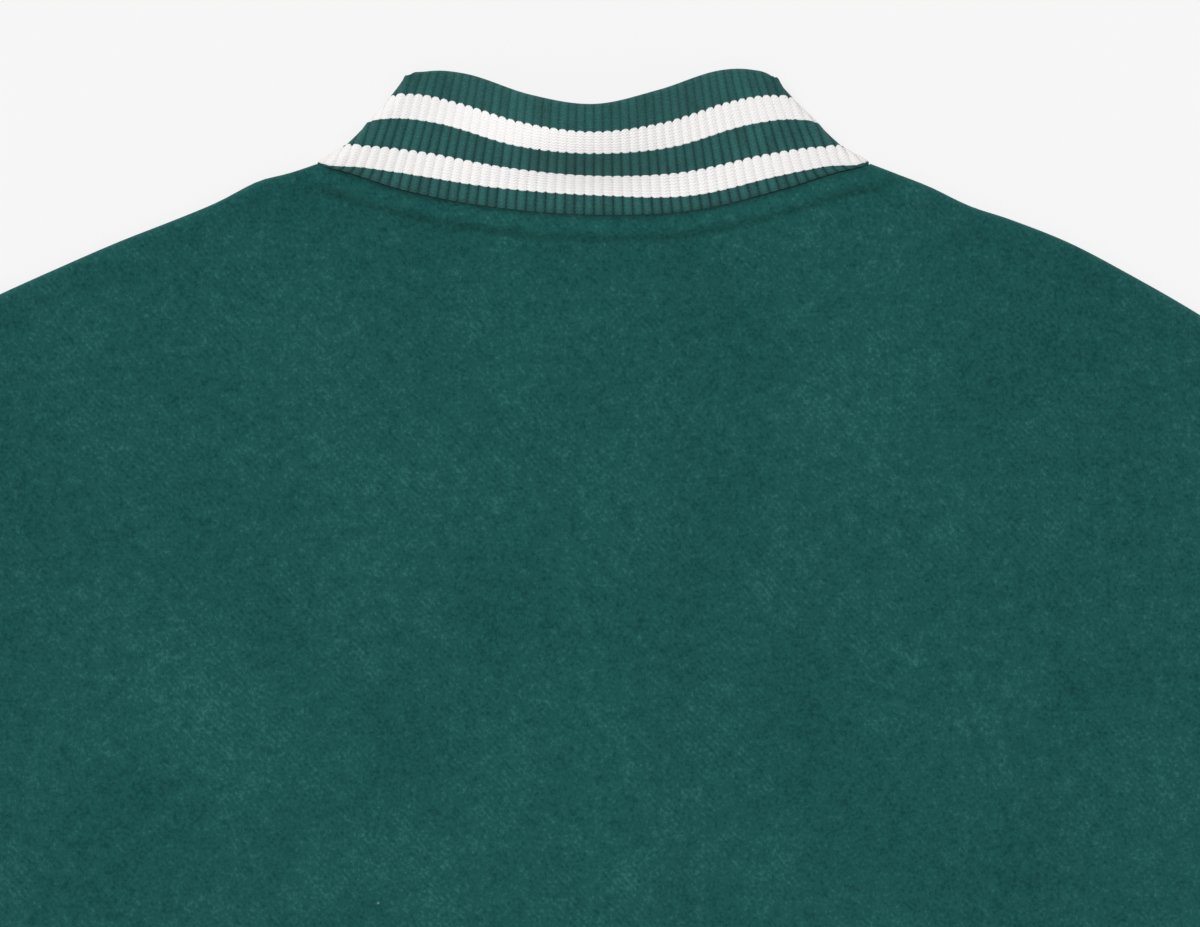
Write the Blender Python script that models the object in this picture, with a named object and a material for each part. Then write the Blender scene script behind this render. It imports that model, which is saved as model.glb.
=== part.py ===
"""Varsity jacket, laid flat with its back up: wool back, two fronts, two sleeves,
a striped rib collar, rib cuffs, a rib hem band and a row of snap caps.

The flat lay is worked out in the plane first, in millimetres, from the centre back
of the neck seam: +X is to the right of someone looking down on the back, +Y runs
towards the collar.  Every point of a piece is then lifted on to the upper or the
lower layer of the folded garment.  The two layers join round a half-circle fold
along the shoulders, the sleeve edges and the sides.
"""
import math

import bmesh
import bpy
import numpy as np

# ---------------------------------------------------------------- sizes, in mm
WOOL = 2.5            # wall of the wool cloth
RIB = 4.0             # wall of the doubled rib knit
GAP = 0.3             # clearance at every seam
LAYER_TOP = 8.4       # top of the upper wool layer
RIDGE = 3.4           # how far the front closure lifts what lies on it
RIDGE_FLAT, RIDGE_OUT = 22.0, 46.0

NECK_HALF = 110.0     # centre back to the side of the neck
NECK_FRONT_Y = -78.0  # front neck drop
COLLAR_END = 0.75     # half of the gap between the collar's two ends
BODY_HEM_Y = -618.0   # seam of body and hem band
HEM_Y = -683.0        # lower edge of the hem band
BODY_HEM_HALF = 272.0
HEM_TOP_HALF, HEM_LOW_HALF = 266.0, 262.0
TAB = 45.0            # the fronts run past the hem band this far from the centre
LAP = 13.0            # each front runs this far past the centre
LEFT_STEP, LEFT_LIFT = (31.0, 17.0), 2.8
RIGHT_STEP, RIGHT_LIFT = (40.0, 18.0), 5.6
COLLAR_LIFT = 3.0     # the right collar end lies on the left front's edge

CAP_D, CAP_H, CAP_N = 15.0, 2.5, 7
CAP_FIRST_Y, CAP_LAST_Y = -97.0, -664.0

CUFF_LEN, CUFF_HALF, CUFF_LOW_HALF = 65.0, 48.0, 46.0

LENGTH_MID = 313.0    # from the neck seam down to the middle of the whole length
MM = 0.001

FOLD = (LAYER_TOP - WOOL) / 2      # radius of a wool fold, at mid wall
MID = LAYER_TOP / 2                # height of that fold's centre
RIB_UP = LAYER_TOP - WOOL / 2      # mid wall of a rib's upper layer
RIB_LOW = RIB / 2                  # and of its lower layer

# outline of shoulder and sleeve top, at mid wall:
# (distance from the centre, height on the left, height on the right)
SHOULDER = (
    (110.0, 19.6, 19.6),
    (122.0, 15.6, 15.0),
    (134.0, 12.5, 10.3),
    (150.0, 4.3, 2.6),
    (166.0, -2.4, -2.7),
    (190.0, -11.8, -12.2),
    (214.0, -22.2, -24.8),
    (238.0, -33.0, -38.5),
    (265.0, -46.0, -55.5),
)
SLEEVE_TOP = (
    (265.0, -46.0, -55.5),
    (310.0, -70.0, -82.0),
    (365.0, -109.0, -121.0),
    (430.0, -169.0, -179.0),
    (520.0, -262.0, -268.0),
    (600.0, -347.0, -350.0),
    (662.0, -413.0, -413.0),
)
# (distance from the centre, height)
SLEEVE_UNDER = ((304.6, -303.0), (309.5, -303.2), (324.0, -313.0), (370.0, -347.0),
                (450.0, -407.0), (520.0, -459.5), (573.7, -497.2))
SIDE = ((272.0, -618.0), (281.0, -606.0), (288.5, -585.0), (291.5, -540.0), (293.0, -460.0),
        (297.0, -370.0), (300.3, -322.0), (301.6, -308.0), (304.6, -303.0))
ARMHOLE = ((304.6, -303.0), (284.0, -272.0), (263.0, -226.0), (252.0, -170.0),
           (250.0, -115.0), (256.0, -77.0), (265.0, None))
FRONT_NECK = ((110.0, 19.6), (107.5, 2.0), (99.0, -20.0), (80.0, -46.0),
              (55.0, -65.5), (31.0, -75.0), (17.0, -77.4), (0.75, -78.0))
COLLAR_FRONT_TOP = ((75.6, 53.4), (73.0, 34.0), (63.0, 12.0), (48.0, -6.0),
                    (32.0, -18.5), (19.0, -25.0), (10.0, -27.4), (0.75, -28.0))
CUFF_AXIS = (0.690, -0.724)        # the right sleeve's direction at the cuff

# The collar's back in plan, a row for each edge of a stripe.  half = distance to the
# side fold; the rest are heights at these shares of it, from left to right.
SHARES = (-1.0, -0.9, -0.7, -0.35, 0.0, 0.35, 0.7, 0.9, 1.0)
COLLAR = (
    # up    half   l100  l90   l70   l35   mid   r35   r70   r90   r100
    (0.00, 110.0, (19.6, 16.9, 10.0, 2.9, 0.0, 1.6, 10.6, 17.3, 19.6)),
    (0.13, 108.0, (21.0, 19.4, 16.2, 10.4, 7.1, 7.3, 15.6, 19.8, 21.0)),
    (0.33, 96.6, (28.4, 28.0, 25.6, 19.6, 16.2, 17.6, 24.6, 27.6, 28.0)),
    (0.56, 88.0, (37.2, 38.0, 35.7, 27.0, 24.0, 26.4, 35.2, 37.6, 36.8)),
    (0.79, 78.0, (48.0, 48.9, 45.6, 37.4, 34.0, 37.6, 46.0, 48.4, 47.2)),
    (1.00, 73.6, (53.6, 56.4, 55.6, 47.6, 44.0, 49.4, 57.0, 56.6, 53.0)),
)
COLLAR_RISE = ((0.00, 0.0), (0.13, 1.0), (0.33, 6.0), (0.56, 13.5), (0.79, 18.0), (1.00, 19.5))
RISE_REACH = 0.78     # share of the half width over which the back of the collar stands up

# distances from an edge at which a wool or rib fold is sampled
ROUND = (0.0, 0.4, 1.4, 3.0)


# ---------------------------------------------------------------- plane geometry
def step(t):
    t = min(1.0, max(0.0, t))
    return t * t * (3 - 2 * t)


def hermite(xs, ys, x):
    """A smooth curve through (xs, ys), read at x."""
    xs, ys = np.asarray(xs, float), np.asarray(ys, float)
    slope = np.diff(ys) / np.diff(xs)
    m = np.concatenate([[slope[0]], (slope[1:] + slope[:-1]) / 2, [slope[-1]]])
    x = float(min(max(x, xs[0]), xs[-1]))
    i = int(min(np.searchsorted(xs, x, side="right") - 1, len(xs) - 2))
    h = xs[i + 1] - xs[i]
    t = (x - xs[i]) / h
    return ((2 * t**3 - 3 * t**2 + 1) * ys[i] + (t**3 - 2 * t**2 + t) * h * m[i]
            + (3 * t**2 - 2 * t**3) * ys[i + 1] + (t**3 - t**2) * h * m[i + 1])


class Path:
    """A smooth line through a few points of the plane, read by its length."""

    def __init__(self, points, spacing=2.0):
        p = np.asarray(points, float)
        knots = np.concatenate([[0], np.cumsum(np.sqrt(np.linalg.norm(np.diff(p, axis=0), axis=1)))])
        n = max(8, int(np.linalg.norm(np.diff(p, axis=0), axis=1).sum() / spacing))
        ts = np.linspace(0, knots[-1], n + 1)
        ts = np.unique(np.concatenate([ts, knots]))
        self.points = np.array([[hermite(knots, p[:, k], t) for k in (0, 1)] for t in ts])
        self.along = np.concatenate([[0], np.cumsum(np.linalg.norm(np.diff(self.points, axis=0), axis=1))])
        self.length = float(self.along[-1])

    def at(self, distance):
        return np.array([np.interp(distance, self.along, self.points[:, k]) for k in (0, 1)])

    def where(self, axis, value):
        """The length at which the line's x (0) or y (1) is value; the line must not turn back."""
        c = self.points[:, axis]
        if c[0] > c[-1]:
            return float(np.interp(value, c[::-1], self.along[::-1]))
        return float(np.interp(value, c, self.along))


class Edge:
    """Fold lines of the flat garment, with the way that points outwards at each vertex."""

    def __init__(self, lines):
        self.a, self.b, self.na, self.nb = [], [], [], []
        for points, side in lines:
            p = np.asarray(points, float)
            seg = np.diff(p, axis=0)
            seg = seg / np.linalg.norm(seg, axis=1)[:, None]
            nor = np.stack([seg[:, 1], -seg[:, 0]], axis=1) * side
            vert = np.concatenate([nor[:1], nor[1:] + nor[:-1], nor[-1:]])
            vert = vert / np.linalg.norm(vert, axis=1)[:, None]
            self.a.append(p[:-1])
            self.b.append(p[1:])
            self.na.append(vert[:-1])
            self.nb.append(vert[1:])
        self.a, self.b, self.na, self.nb = (np.concatenate(x) for x in (self.a, self.b, self.na, self.nb))

    def near(self, p):
        """(distance from the nearest fold line, the way out)"""
        p = np.asarray(p, float)
        ab = self.b - self.a
        t = np.clip(((p - self.a) * ab).sum(1) / (ab * ab).sum(1), 0, 1)
        q = self.a + t[:, None] * ab
        d = np.linalg.norm(p - q, axis=1)
        i = int(np.argmin(d))
        n = self.na[i] * (1 - t[i]) + self.nb[i] * t[i]
        return float(d[i]), n / np.linalg.norm(n)


def mirrored(points, side):
    return np.asarray(points, float) * (side, 1)


def coons(bottom, top, left, right, us, vs):
    """Fills four boundary lines with a grid: grid[j][i] for row j (vs) and column i (us)."""
    bottom, top, left, right = (np.asarray(x, float) for x in (bottom, top, left, right))
    grid = np.zeros((len(vs), len(us), 2))
    for j, v in enumerate(vs):
        for i, u in enumerate(us):
            grid[j, i] = ((1 - v) * bottom[i] + v * top[i] + (1 - u) * left[j] + u * right[j]
                          - (1 - u) * (1 - v) * bottom[0] - u * (1 - v) * bottom[-1]
                          - (1 - u) * v * top[0] - u * v * top[-1])
    return grid


def shares(points):
    points = np.asarray(points, float)
    s = np.concatenate([[0], np.cumsum(np.linalg.norm(np.diff(points, axis=0), axis=1))])
    return s / s[-1]


def moved(points, distance):
    """The line set off to its left by distance."""
    p = np.asarray(points, float)
    t = np.gradient(p, axis=0)
    t = t / np.linalg.norm(t, axis=1)[:, None]
    return p + np.stack([-t[:, 1], t[:, 0]], axis=1) * distance


# ---------------------------------------------------------------- the outlines
def side_of(table, side):
    return [(side * row[0], row[1] if side < 0 else row[2]) for row in table]


SHOULDER_PATH = {s: Path(side_of(SHOULDER, s)) for s in (-1, 1)}        # neck to shoulder tip
SLEEVE_TOP_PATH = {s: Path(side_of(SLEEVE_TOP, s)) for s in (-1, 1)}    # tip to cuff
SLEEVE_UNDER_PATH = {s: Path(mirrored(SLEEVE_UNDER, s)) for s in (-1, 1)}
SIDE_PATH = {s: Path(mirrored(SIDE, s)) for s in (-1, 1)}               # hem to underarm
ARMHOLE_PATH = {}
for s in (-1, 1):
    rows = [(s * x, SHOULDER[-1][1 if s < 0 else 2] if y is None else y) for x, y in ARMHOLE]
    ARMHOLE_PATH[s] = Path(rows)                                         # underarm to tip
FRONT_NECK_PATH = {s: Path(mirrored(FRONT_NECK, s)) for s in (-1, 1)}   # side to centre front
COLLAR_FRONT_TOP_PATH = {s: Path(mirrored(COLLAR_FRONT_TOP, s)) for s in (-1, 1)}


def collar_half(up):
    return hermite([r[0] for r in COLLAR], [r[1] for r in COLLAR], up)


def collar_back(share, up):
    """A point of the collar's back in plan: share runs -1 to 1 across, up 0 to 1 from the seam."""
    rows = [hermite(SHARES, r[2], share) for r in COLLAR]
    ups = [r[0] for r in COLLAR]
    return np.array([share * collar_half(up), hermite(ups, rows, up)])


def collar_fold(side):
    return [collar_back(side, up) for up in (0.0, 0.065, 0.13, 0.2, 0.27, 0.33, 0.41, 0.48, 0.56,
                                             0.64, 0.72, 0.79, 0.86, 0.93, 1.0)]


def joined(*paths):
    out = []
    for p in paths:
        out += [q for q in p if not out or np.linalg.norm(np.asarray(q) - out[-1]) > 1e-6]
    return out


WOOL_EDGE = Edge(
    [(joined(SLEEVE_TOP_PATH[s].points[::-1], SHOULDER_PATH[s].points[::-1], collar_fold(s)), s) for s in (-1, 1)]
    + [(joined(SIDE_PATH[s].points, SLEEVE_UNDER_PATH[s].points), s) for s in (-1, 1)])
COLLAR_EDGE = Edge([(joined(SHOULDER_PATH[s].points[::-1], collar_fold(s)), s) for s in (-1, 1)])
HEM_EDGE = Edge([(((s * HEM_LOW_HALF, HEM_Y - 20), (s * HEM_LOW_HALF, HEM_Y),
                   (s * HEM_TOP_HALF, BODY_HEM_Y)), s) for s in (-1, 1)])


# ---------------------------------------------------------------- the two layers
def ridge(x, y):
    """How far the closed front edges push up the layer on top of them."""
    return RIDGE * step((RIDGE_OUT - abs(x)) / (RIDGE_OUT - RIDGE_FLAT)) * step((-8 - y) / 45)


def left_lift(x, y):
    return LEFT_LIFT * step((x + LEFT_STEP[0]) / (LEFT_STEP[0] - LEFT_STEP[1]))


def right_lift(x, y):
    return RIGHT_LIFT * step((RIGHT_STEP[0] - x) / (RIGHT_STEP[0] - RIGHT_STEP[1]))


def none(x, y):
    return 0.0


def layer(p, side, edge, centre, radius, lift):
    """Lifts a point of the plan on to the upper (1) or lower (-1) layer: (point at mid wall, outward normal)."""
    x, y = float(p[0]), float(p[1])
    d, out = edge.near(p)
    if d < radius:
        c = 1 - d / radius
        s = math.sqrt(max(0.0, 1 - c * c))
        z = centre + side * max(GAP / 2, radius * s) + lift(x, y) * s
        return np.array([x, y, z]), np.array([out[0] * c, out[1] * c, side * s])
    gx = (lift(x + 0.5, y) - lift(x - 0.5, y))
    gy = (lift(x, y + 0.5) - lift(x, y - 0.5))
    n = np.array([-gx, -gy, 1.0]) * side
    return np.array([x, y, centre + side * radius + lift(x, y)]), n / np.linalg.norm(n)


def wool(p, side, lift):
    return layer(p, side, WOOL_EDGE, MID, FOLD, lift)


def walls(grid, lifted, thickness):
    """The outer and the inner face of a grid of plan points."""
    outer, inner = np.zeros(grid.shape[:2] + (3,)), np.zeros(grid.shape[:2] + (3,))
    for j in range(grid.shape[0]):
        for i in range(grid.shape[1]):
            m, n = lifted(grid[j, i])
            outer[j, i], inner[j, i] = m + n * thickness / 2, m - n * thickness / 2
    return outer, inner


# ---------------------------------------------------------------- making objects
def material(name, colour, roughness, metallic=0.0):
    m = bpy.data.materials.new(name)
    m.use_nodes = True
    b = m.node_tree.nodes["Principled BSDF"]
    b.inputs["Base Color"].default_value = (*colour, 1)
    b.inputs["Roughness"].default_value = roughness
    b.inputs["Metallic"].default_value = metallic
    return m


def finish_object(name, bm, mat, smooth=35):
    bmesh.ops.recalc_face_normals(bm, faces=bm.faces)
    if bm.calc_volume(signed=True) < 0:
        bmesh.ops.reverse_faces(bm, faces=bm.faces)
    mesh = bpy.data.meshes.new(name)
    bm.to_mesh(mesh)
    bm.free()
    mesh.shade_smooth()
    mesh.set_sharp_from_angle(angle=math.radians(smooth))
    mesh.materials.append(mat)
    obj = bpy.data.objects.new(name, mesh)
    bpy.context.scene.collection.objects.link(obj)
    obj.parent = root
    return obj


def place(v):
    return (v[0] * MM, (v[1] + LENGTH_MID) * MM, v[2] * MM)


def cloth_wall(name, outer, inner, mat, closed=False, cells=None):
    """A cloth wall between two matching grids of points.  closed joins the last column to the first,
    cells(j, i) says which cells there are."""
    rows, cols = outer.shape[:2]
    bm = bmesh.new()
    made = {}

    def vert(face, j, i):
        i = i % cols if closed else i
        if (face, j, i) not in made:
            made[face, j, i] = bm.verts.new(place((outer, inner)[face][j, i]))
        return made[face, j, i]

    there = {(j, i) for j in range(rows - 1) for i in range(cols if closed else cols - 1)
             if cells is None or cells(j, i)}
    for j, i in sorted(there):
        ring = [(j, i), (j, i + 1), (j + 1, i + 1), (j + 1, i)]
        bm.faces.new([vert(0, *c) for c in ring])
        bm.faces.new([vert(1, *c) for c in reversed(ring)])
        around = ((j - 1, i), (j, i + 1), (j + 1, i), (j, i - 1))
        for k, (nj, ni) in enumerate(around):
            if closed:
                ni %= cols
            if (nj, ni) not in there:
                a, b = ring[k], ring[(k + 1) % 4]
                bm.faces.new([vert(0, *b), vert(0, *a), vert(1, *a), vert(1, *b)])
    return finish_object(name, bm, mat)


# ---------------------------------------------------------------- seams shared by two pieces
def armhole_stations(side):
    """Points of the armhole seam from underarm to shoulder tip."""
    path = ARMHOLE_PATH[side]
    n = 6
    inner = [path.length * k / n for k in range(1, n)]
    return np.array([path.at(d) for d in (*ROUND, *inner, *(path.length - r for r in reversed(ROUND)))])


NECK_SHARES = (1.0, 1 - 0.4 / 110, 1 - 1.4 / 110, 1 - 3.0 / 110, 0.9, 0.7, 50 / 110, 0.2, 0.0)


def back_neck_stations():
    f = [-s for s in NECK_SHARES] + list(reversed(NECK_SHARES[:-1]))
    return np.array([collar_back(s, 0) for s in f])


FRONT_NECK_X = {-1: (99.0, 80.0, 60.0, 45.0, 31.0, 24.0, 17.0, 0.75), 1: (99.0, 80.0, 60.0, 45.0, 40.0, 32.0, 25.0, 18.0, 0.75)}


def front_neck_distances(side):
    path = FRONT_NECK_PATH[side]
    return [*ROUND, *(path.where(0, side * x) for x in FRONT_NECK_X[side])]


def front_neck_stations(side):
    return np.array([FRONT_NECK_PATH[side].at(d) for d in front_neck_distances(side)])


SHOULDER_SHARES = (0.16, 0.42, 0.70)
SIDE_DISTANCES = (0.0, 14.0, 34.0, 80.0, 160.0, 235.0, 290.0)


def shoulder_stations(side):
    """From the shoulder tip to just before the neck."""
    path = SHOULDER_PATH[side]
    d = [path.length - r for r in ROUND] + [path.length * (1 - s) for s in SHOULDER_SHARES]
    return np.array([path.at(x) for x in d])


def side_stations(side):
    """The side seam from the hem, then the armhole up to the shoulder tip."""
    path = SIDE_PATH[side]
    low = np.array([path.at(d) for d in SIDE_DISTANCES] + [path.at(path.length - 6)])
    arm = moved(armhole_stations(side), side * GAP / 2)
    arm[0] = SIDE_PATH[side].at(SIDE_PATH[side].length - GAP / 2)
    arm[-1] = SHOULDER_PATH[side].at(SHOULDER_PATH[side].length - GAP / 2)
    return np.concatenate([low, arm])


# ---------------------------------------------------------------- the pieces
for old in list(bpy.data.objects):
    bpy.data.objects.remove(old, do_unlink=True)

WOOL_MAT = material("green_wool", (0.0142, 0.0852, 0.0782), 0.95)
RIB_MAT = material("green_rib", (0.026, 0.092, 0.088), 0.9)
CAP_MAT = material("enamelled_cap", (0.80, 0.79, 0.76), 0.35)
root = bpy.data.objects.new("varsity_jacket", None)
bpy.context.scene.collection.objects.link(root)


def make_back():
    left, right = side_stations(-1), side_stations(1)
    neck = moved(back_neck_stations(), -GAP / 2)
    neck[0] = SHOULDER_PATH[-1].at(GAP / 2)
    neck[-1] = SHOULDER_PATH[1].at(GAP / 2)
    top = np.concatenate([shoulder_stations(-1), neck, shoulder_stations(1)[::-1]])
    top[0], top[-1] = left[-1], right[-1]
    wide = top[-1][0] - top[0][0]
    low = BODY_HEM_Y + GAP / 2
    bottom_x = [-BODY_HEM_HALF + r for r in ROUND] + [-243.0, -200.0, -155.0]
    bottom_x += [x for x in neck[:, 0]]
    bottom_x += [-x for x in reversed(bottom_x[:7])]
    bottom = np.array([(x, low) for x in bottom_x])
    left[0], right[0] = bottom[0], bottom[-1]
    us = (shares([(x, 0) for x in bottom_x]) + (top[:, 0] - top[0][0]) / wide) / 2
    ends = np.concatenate([left[:8], moved(left[8:], 0)])
    vs = shares(ends)
    # the last rows hug the shoulder fold
    grid = coons(bottom, top, left, right, us, vs)
    outer, inner = walls(grid, lambda p: wool(p, 1, ridge), WOOL)
    return cloth_wall("back", outer, inner, WOOL_MAT)


def make_front(side, name):
    """The wearer's left front is at -X, and its edge laps under the right one as it lies here."""
    lift = left_lift if side < 0 else right_lift
    edge_x = -side * LAP
    seam = side_stations(side)
    neck = moved(front_neck_stations(side), side * GAP / 2)
    neck[0] = SHOULDER_PATH[side].at(GAP / 2)
    neck = np.concatenate([neck, [(edge_x, NECK_FRONT_Y - GAP / 2)]])
    neck[-2] = (side * COLLAR_END, NECK_FRONT_Y - GAP / 2)
    top = np.concatenate([shoulder_stations(side), neck])
    top[0] = seam[-1]
    low = BODY_HEM_Y + GAP / 2
    bottom_x = [side * x for x in (*(BODY_HEM_HALF - r for r in ROUND), 243.0, 200.0, 155.0,
                                   110.0, 109.6, 108.6, 107.0, *FRONT_NECK_X[side])] + [edge_x]
    bottom = np.array([(x, low) for x in bottom_x])
    seam[0] = bottom[0]
    us = shares([(x, 0) for x in bottom_x])
    vs = shares(seam)
    edge_line = np.array([(edge_x, low + (top[-1][1] - low) * v) for v in vs])
    grid = coons(bottom, top, seam, edge_line, us, vs)
    tab_from = len(bottom_x) - 1 - sum(1 for x in FRONT_NECK_X[side] if x <= TAB)
    tab = np.array([[(x, y) for x in bottom_x] for y in (HEM_Y, (HEM_Y + low) / 2)])
    grid = np.concatenate([tab, grid])
    outer, inner = walls(grid, lambda p: wool(p, -1, lift), WOOL)
    return cloth_wall(name, outer, inner, WOOL_MAT, cells=lambda j, i: j > 1 or i >= tab_from)


def ring_walls(grid, edge, centre, radius, thickness, lift=none):
    """Two layers over the same plan grid, joined round both of its sides, as closed rings.
    Each row of the grid is one ring, from one fold to the other."""
    rows, n = grid.shape[:2]
    outer, inner = [], []
    for j in range(rows):
        ring_o, ring_i = [], []
        for k in range(2 * (n - 1)):
            i, side = (k, 1) if k < n else (2 * (n - 1) - k, -1)
            m, nor = layer(grid[j, i], side, edge, centre, radius, lift if side > 0 else none)
            if i in (0, n - 1):
                m[2], nor[2] = centre, 0.0
                nor = nor / np.linalg.norm(nor)
            ring_o.append(m + nor * thickness / 2)
            ring_i.append(m - nor * thickness / 2)
        outer.append(ring_o)
        inner.append(ring_i)
    return np.array(outer), np.array(inner)


SLEEVE_SHARES = (0.0, 0.05, 0.15, 0.30, 0.47, 0.64, 0.80, 0.92, 1.0)


def cuff_centre(side):
    return (SLEEVE_TOP_PATH[side].points[-1] + SLEEVE_UNDER_PATH[side].points[-1]) / 2


def across_cuff(side, half):
    """The points of a ring across the cuff, from the under edge to the top edge, about the centre."""
    n = len(armhole_stations(side))
    inner = n - 2 * len(ROUND)
    offs = [-half + r for r in ROUND] + [half * (2 * k / (inner + 1) - 1) for k in range(1, inner + 1)]
    offs += [half - r for r in reversed(ROUND)]
    across = np.array((-CUFF_AXIS[1], CUFF_AXIS[0])) * (side, 1)
    return np.array([across * o for o in offs])


def make_sleeve(side, name):
    first = moved(armhole_stations(side), -side * GAP / 2)
    under, over = SLEEVE_UNDER_PATH[side], SLEEVE_TOP_PATH[side]
    first[0], first[-1] = under.at(GAP / 2), over.at(GAP / 2)
    along = np.array(CUFF_AXIS) * (side, 1)
    half = np.linalg.norm(over.points[-1] - under.points[-1]) / 2
    last = across_cuff(side, half) + cuff_centre(side) - along * GAP / 2
    left = np.array([under.at(GAP / 2 + (under.length - GAP / 2) * s) for s in SLEEVE_SHARES])
    right = np.array([over.at(GAP / 2 + (over.length - GAP / 2) * s) for s in SLEEVE_SHARES])
    left[-1], right[-1] = last[0], last[-1]
    us = (shares(first) + shares(last)) / 2
    grid = coons(first, last, left, right, us, SLEEVE_SHARES)
    outer, inner = ring_walls(grid, WOOL_EDGE, MID, FOLD, WOOL)
    return cloth_wall(name, outer, inner, WOOL_MAT, closed=True)


RIB_FOLD, RIB_MID = (RIB_UP - RIB_LOW) / 2, (RIB_UP + RIB_LOW) / 2


def make_cuff(side, name):
    along = np.array(CUFF_AXIS) * (side, 1)
    start = cuff_centre(side)
    rows = []
    for s in (GAP / 2, 0.5 * CUFF_LEN, CUFF_LEN):
        half = CUFF_HALF + (CUFF_LOW_HALF - CUFF_HALF) * s / CUFF_LEN
        rows.append(across_cuff(side, half) + start + along * s)
    across = np.array((-CUFF_AXIS[1], CUFF_AXIS[0])) * (side, 1)
    lines = []
    for e in (-1, 1):
        a = start + across * e * CUFF_HALF
        b = start + across * e * CUFF_LOW_HALF + along * CUFF_LEN
        lines.append(((a - along * 20, a, b, b + along * 20), -e * side))
    outer, inner = ring_walls(np.array(rows), Edge(lines), RIB_MID, RIB_FOLD, RIB)
    return cloth_wall(name, outer, inner, RIB_MAT, closed=True)


def strip(stations, levels, lifted, thickness):
    """Walls of a strip: lifted(station, up) gives a point at mid wall and its outward normal."""
    outer, inner = [], []
    for up, share in levels:
        rows = [lifted(k, up) for k in stations]
        outer.append([m + n * thickness * share / 2 for m, n in rows])
        inner.append([m - n * thickness * share / 2 for m, n in rows])
    return np.array(outer), np.array(inner)


def rise(share, up):
    return (hermite([r[0] for r in COLLAR_RISE], [r[1] for r in COLLAR_RISE], up)
            * (1 - step(abs(share) / RISE_REACH)))


def collar_front(side, distance, up):
    """A point of the collar's front in plan, distance along the front neck seam from the side fold."""
    low, high = FRONT_NECK_PATH[side], COLLAR_FRONT_TOP_PATH[side]
    g = distance / low.length
    fold = collar_back(side, up) - ((1 - up) * low.at(0) + up * high.at(0))
    return (1 - up) * low.at(distance) + up * high.at(g * high.length) + fold * (1 - g) ** 2


def collar_point(station, up):
    where, side, value = station
    if where == "back":
        p = collar_back(value, up)
        if up == 0:
            p = p + (0, GAP / 2 + 0.7 * step((abs(value) - 0.9) / 0.07))
        m, n = layer(p, 1, COLLAR_EDGE, RIB_MID, RIB_FOLD, none)
        if abs(value) == 1:
            m[2], n = RIB_MID, np.array([n[0], n[1], 0.0])
            n = n / np.linalg.norm(n)
        m[2] += rise(value, up)
        if abs(value) < RISE_REACH:
            e = 0.01
            du = collar_back(value, min(1, up + e)) - collar_back(value, max(0, up - e))
            dz = rise(value, min(1, up + e)) - rise(value, max(0, up - e))
            length = np.linalg.norm(du)
            n = n * (1, 1, 0) + np.array([-dz * du[0] / length, -dz * du[1] / length, length])
            n = n / np.linalg.norm(n)
        return m, n
    p = collar_front(side, value, up)
    if up == 0:
        seam = moved(front_neck_stations(side), -side * GAP / 2)
        p = seam[front_neck_distances(side).index(value)]
    if value > 100:
        p[0] = side * max(COLLAR_END, side * p[0])

    def lift(x, y):
        return COLLAR_LIFT * (1 - 0.7 * up) * step((35 - x) / 30) if side > 0 else 0.0
    return layer(p, -1, COLLAR_EDGE, RIB_MID, RIB_FOLD, lift)


def make_collar():
    stations = [("front", -1, d) for d in reversed(front_neck_distances(-1)[1:])]
    stations += [("back", -1, -s) for s in NECK_SHARES[:-1]]
    stations += [("back", 1, s) for s in reversed(NECK_SHARES)]
    stations += [("front", 1, d) for d in front_neck_distances(1)[1:]]
    levels = ((0.0, 1.0), (0.13, 1.0), (0.33, 1.0), (0.56, 1.0), (0.79, 1.0), (0.965, 1.0), (1.0, 0.5))
    outer, inner = strip(stations, levels, collar_point, RIB)
    return cloth_wall("collar", outer, inner, RIB_MAT)


def make_hem():
    """The hem band: its back on the upper layer, its two ends on the lower one, up to the tabs."""
    half = HEM_TOP_HALF
    back = [-half + r for r in ROUND] + [-240.0, -180.0, -110.0, -RIDGE_OUT, -RIDGE_FLAT]
    back = back + [0.0] + [-x for x in reversed(back)]
    front = [half - r for r in ROUND[1:]] + [240.0, 180.0, 110.0, TAB + GAP]
    stations = [(-1, -x) for x in reversed(front)] + [(1, x) for x in back] + [(-1, x) for x in front]

    def lifted(station, up):
        side, x = station
        y = BODY_HEM_Y - GAP / 2 + (HEM_Y - BODY_HEM_Y + GAP / 2) * up
        now = HEM_TOP_HALF + (HEM_LOW_HALF - HEM_TOP_HALF) * (y - BODY_HEM_Y) / (HEM_Y - BODY_HEM_Y)
        moved_x = x if abs(x) <= TAB + GAP + 1e-6 else math.copysign(
            TAB + GAP + (abs(x) - TAB - GAP) * (now - TAB - GAP) / (half - TAB - GAP), x)
        m, n = layer((moved_x, y), side, HEM_EDGE, RIB_MID, RIB_FOLD, ridge if side > 0 else none)
        if abs(x) == half:
            m[2], n = RIB_MID, np.array([n[0], n[1], 0.0])
            n = n / np.linalg.norm(n)
        return m, n
    levels = ((0.0, 1.0), (0.35, 1.0), (0.975, 1.0), (1.0, 0.5))
    outer, inner = strip(stations, levels, lifted, RIB)
    return cloth_wall("hem_band", outer, inner, RIB_MAT)


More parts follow.
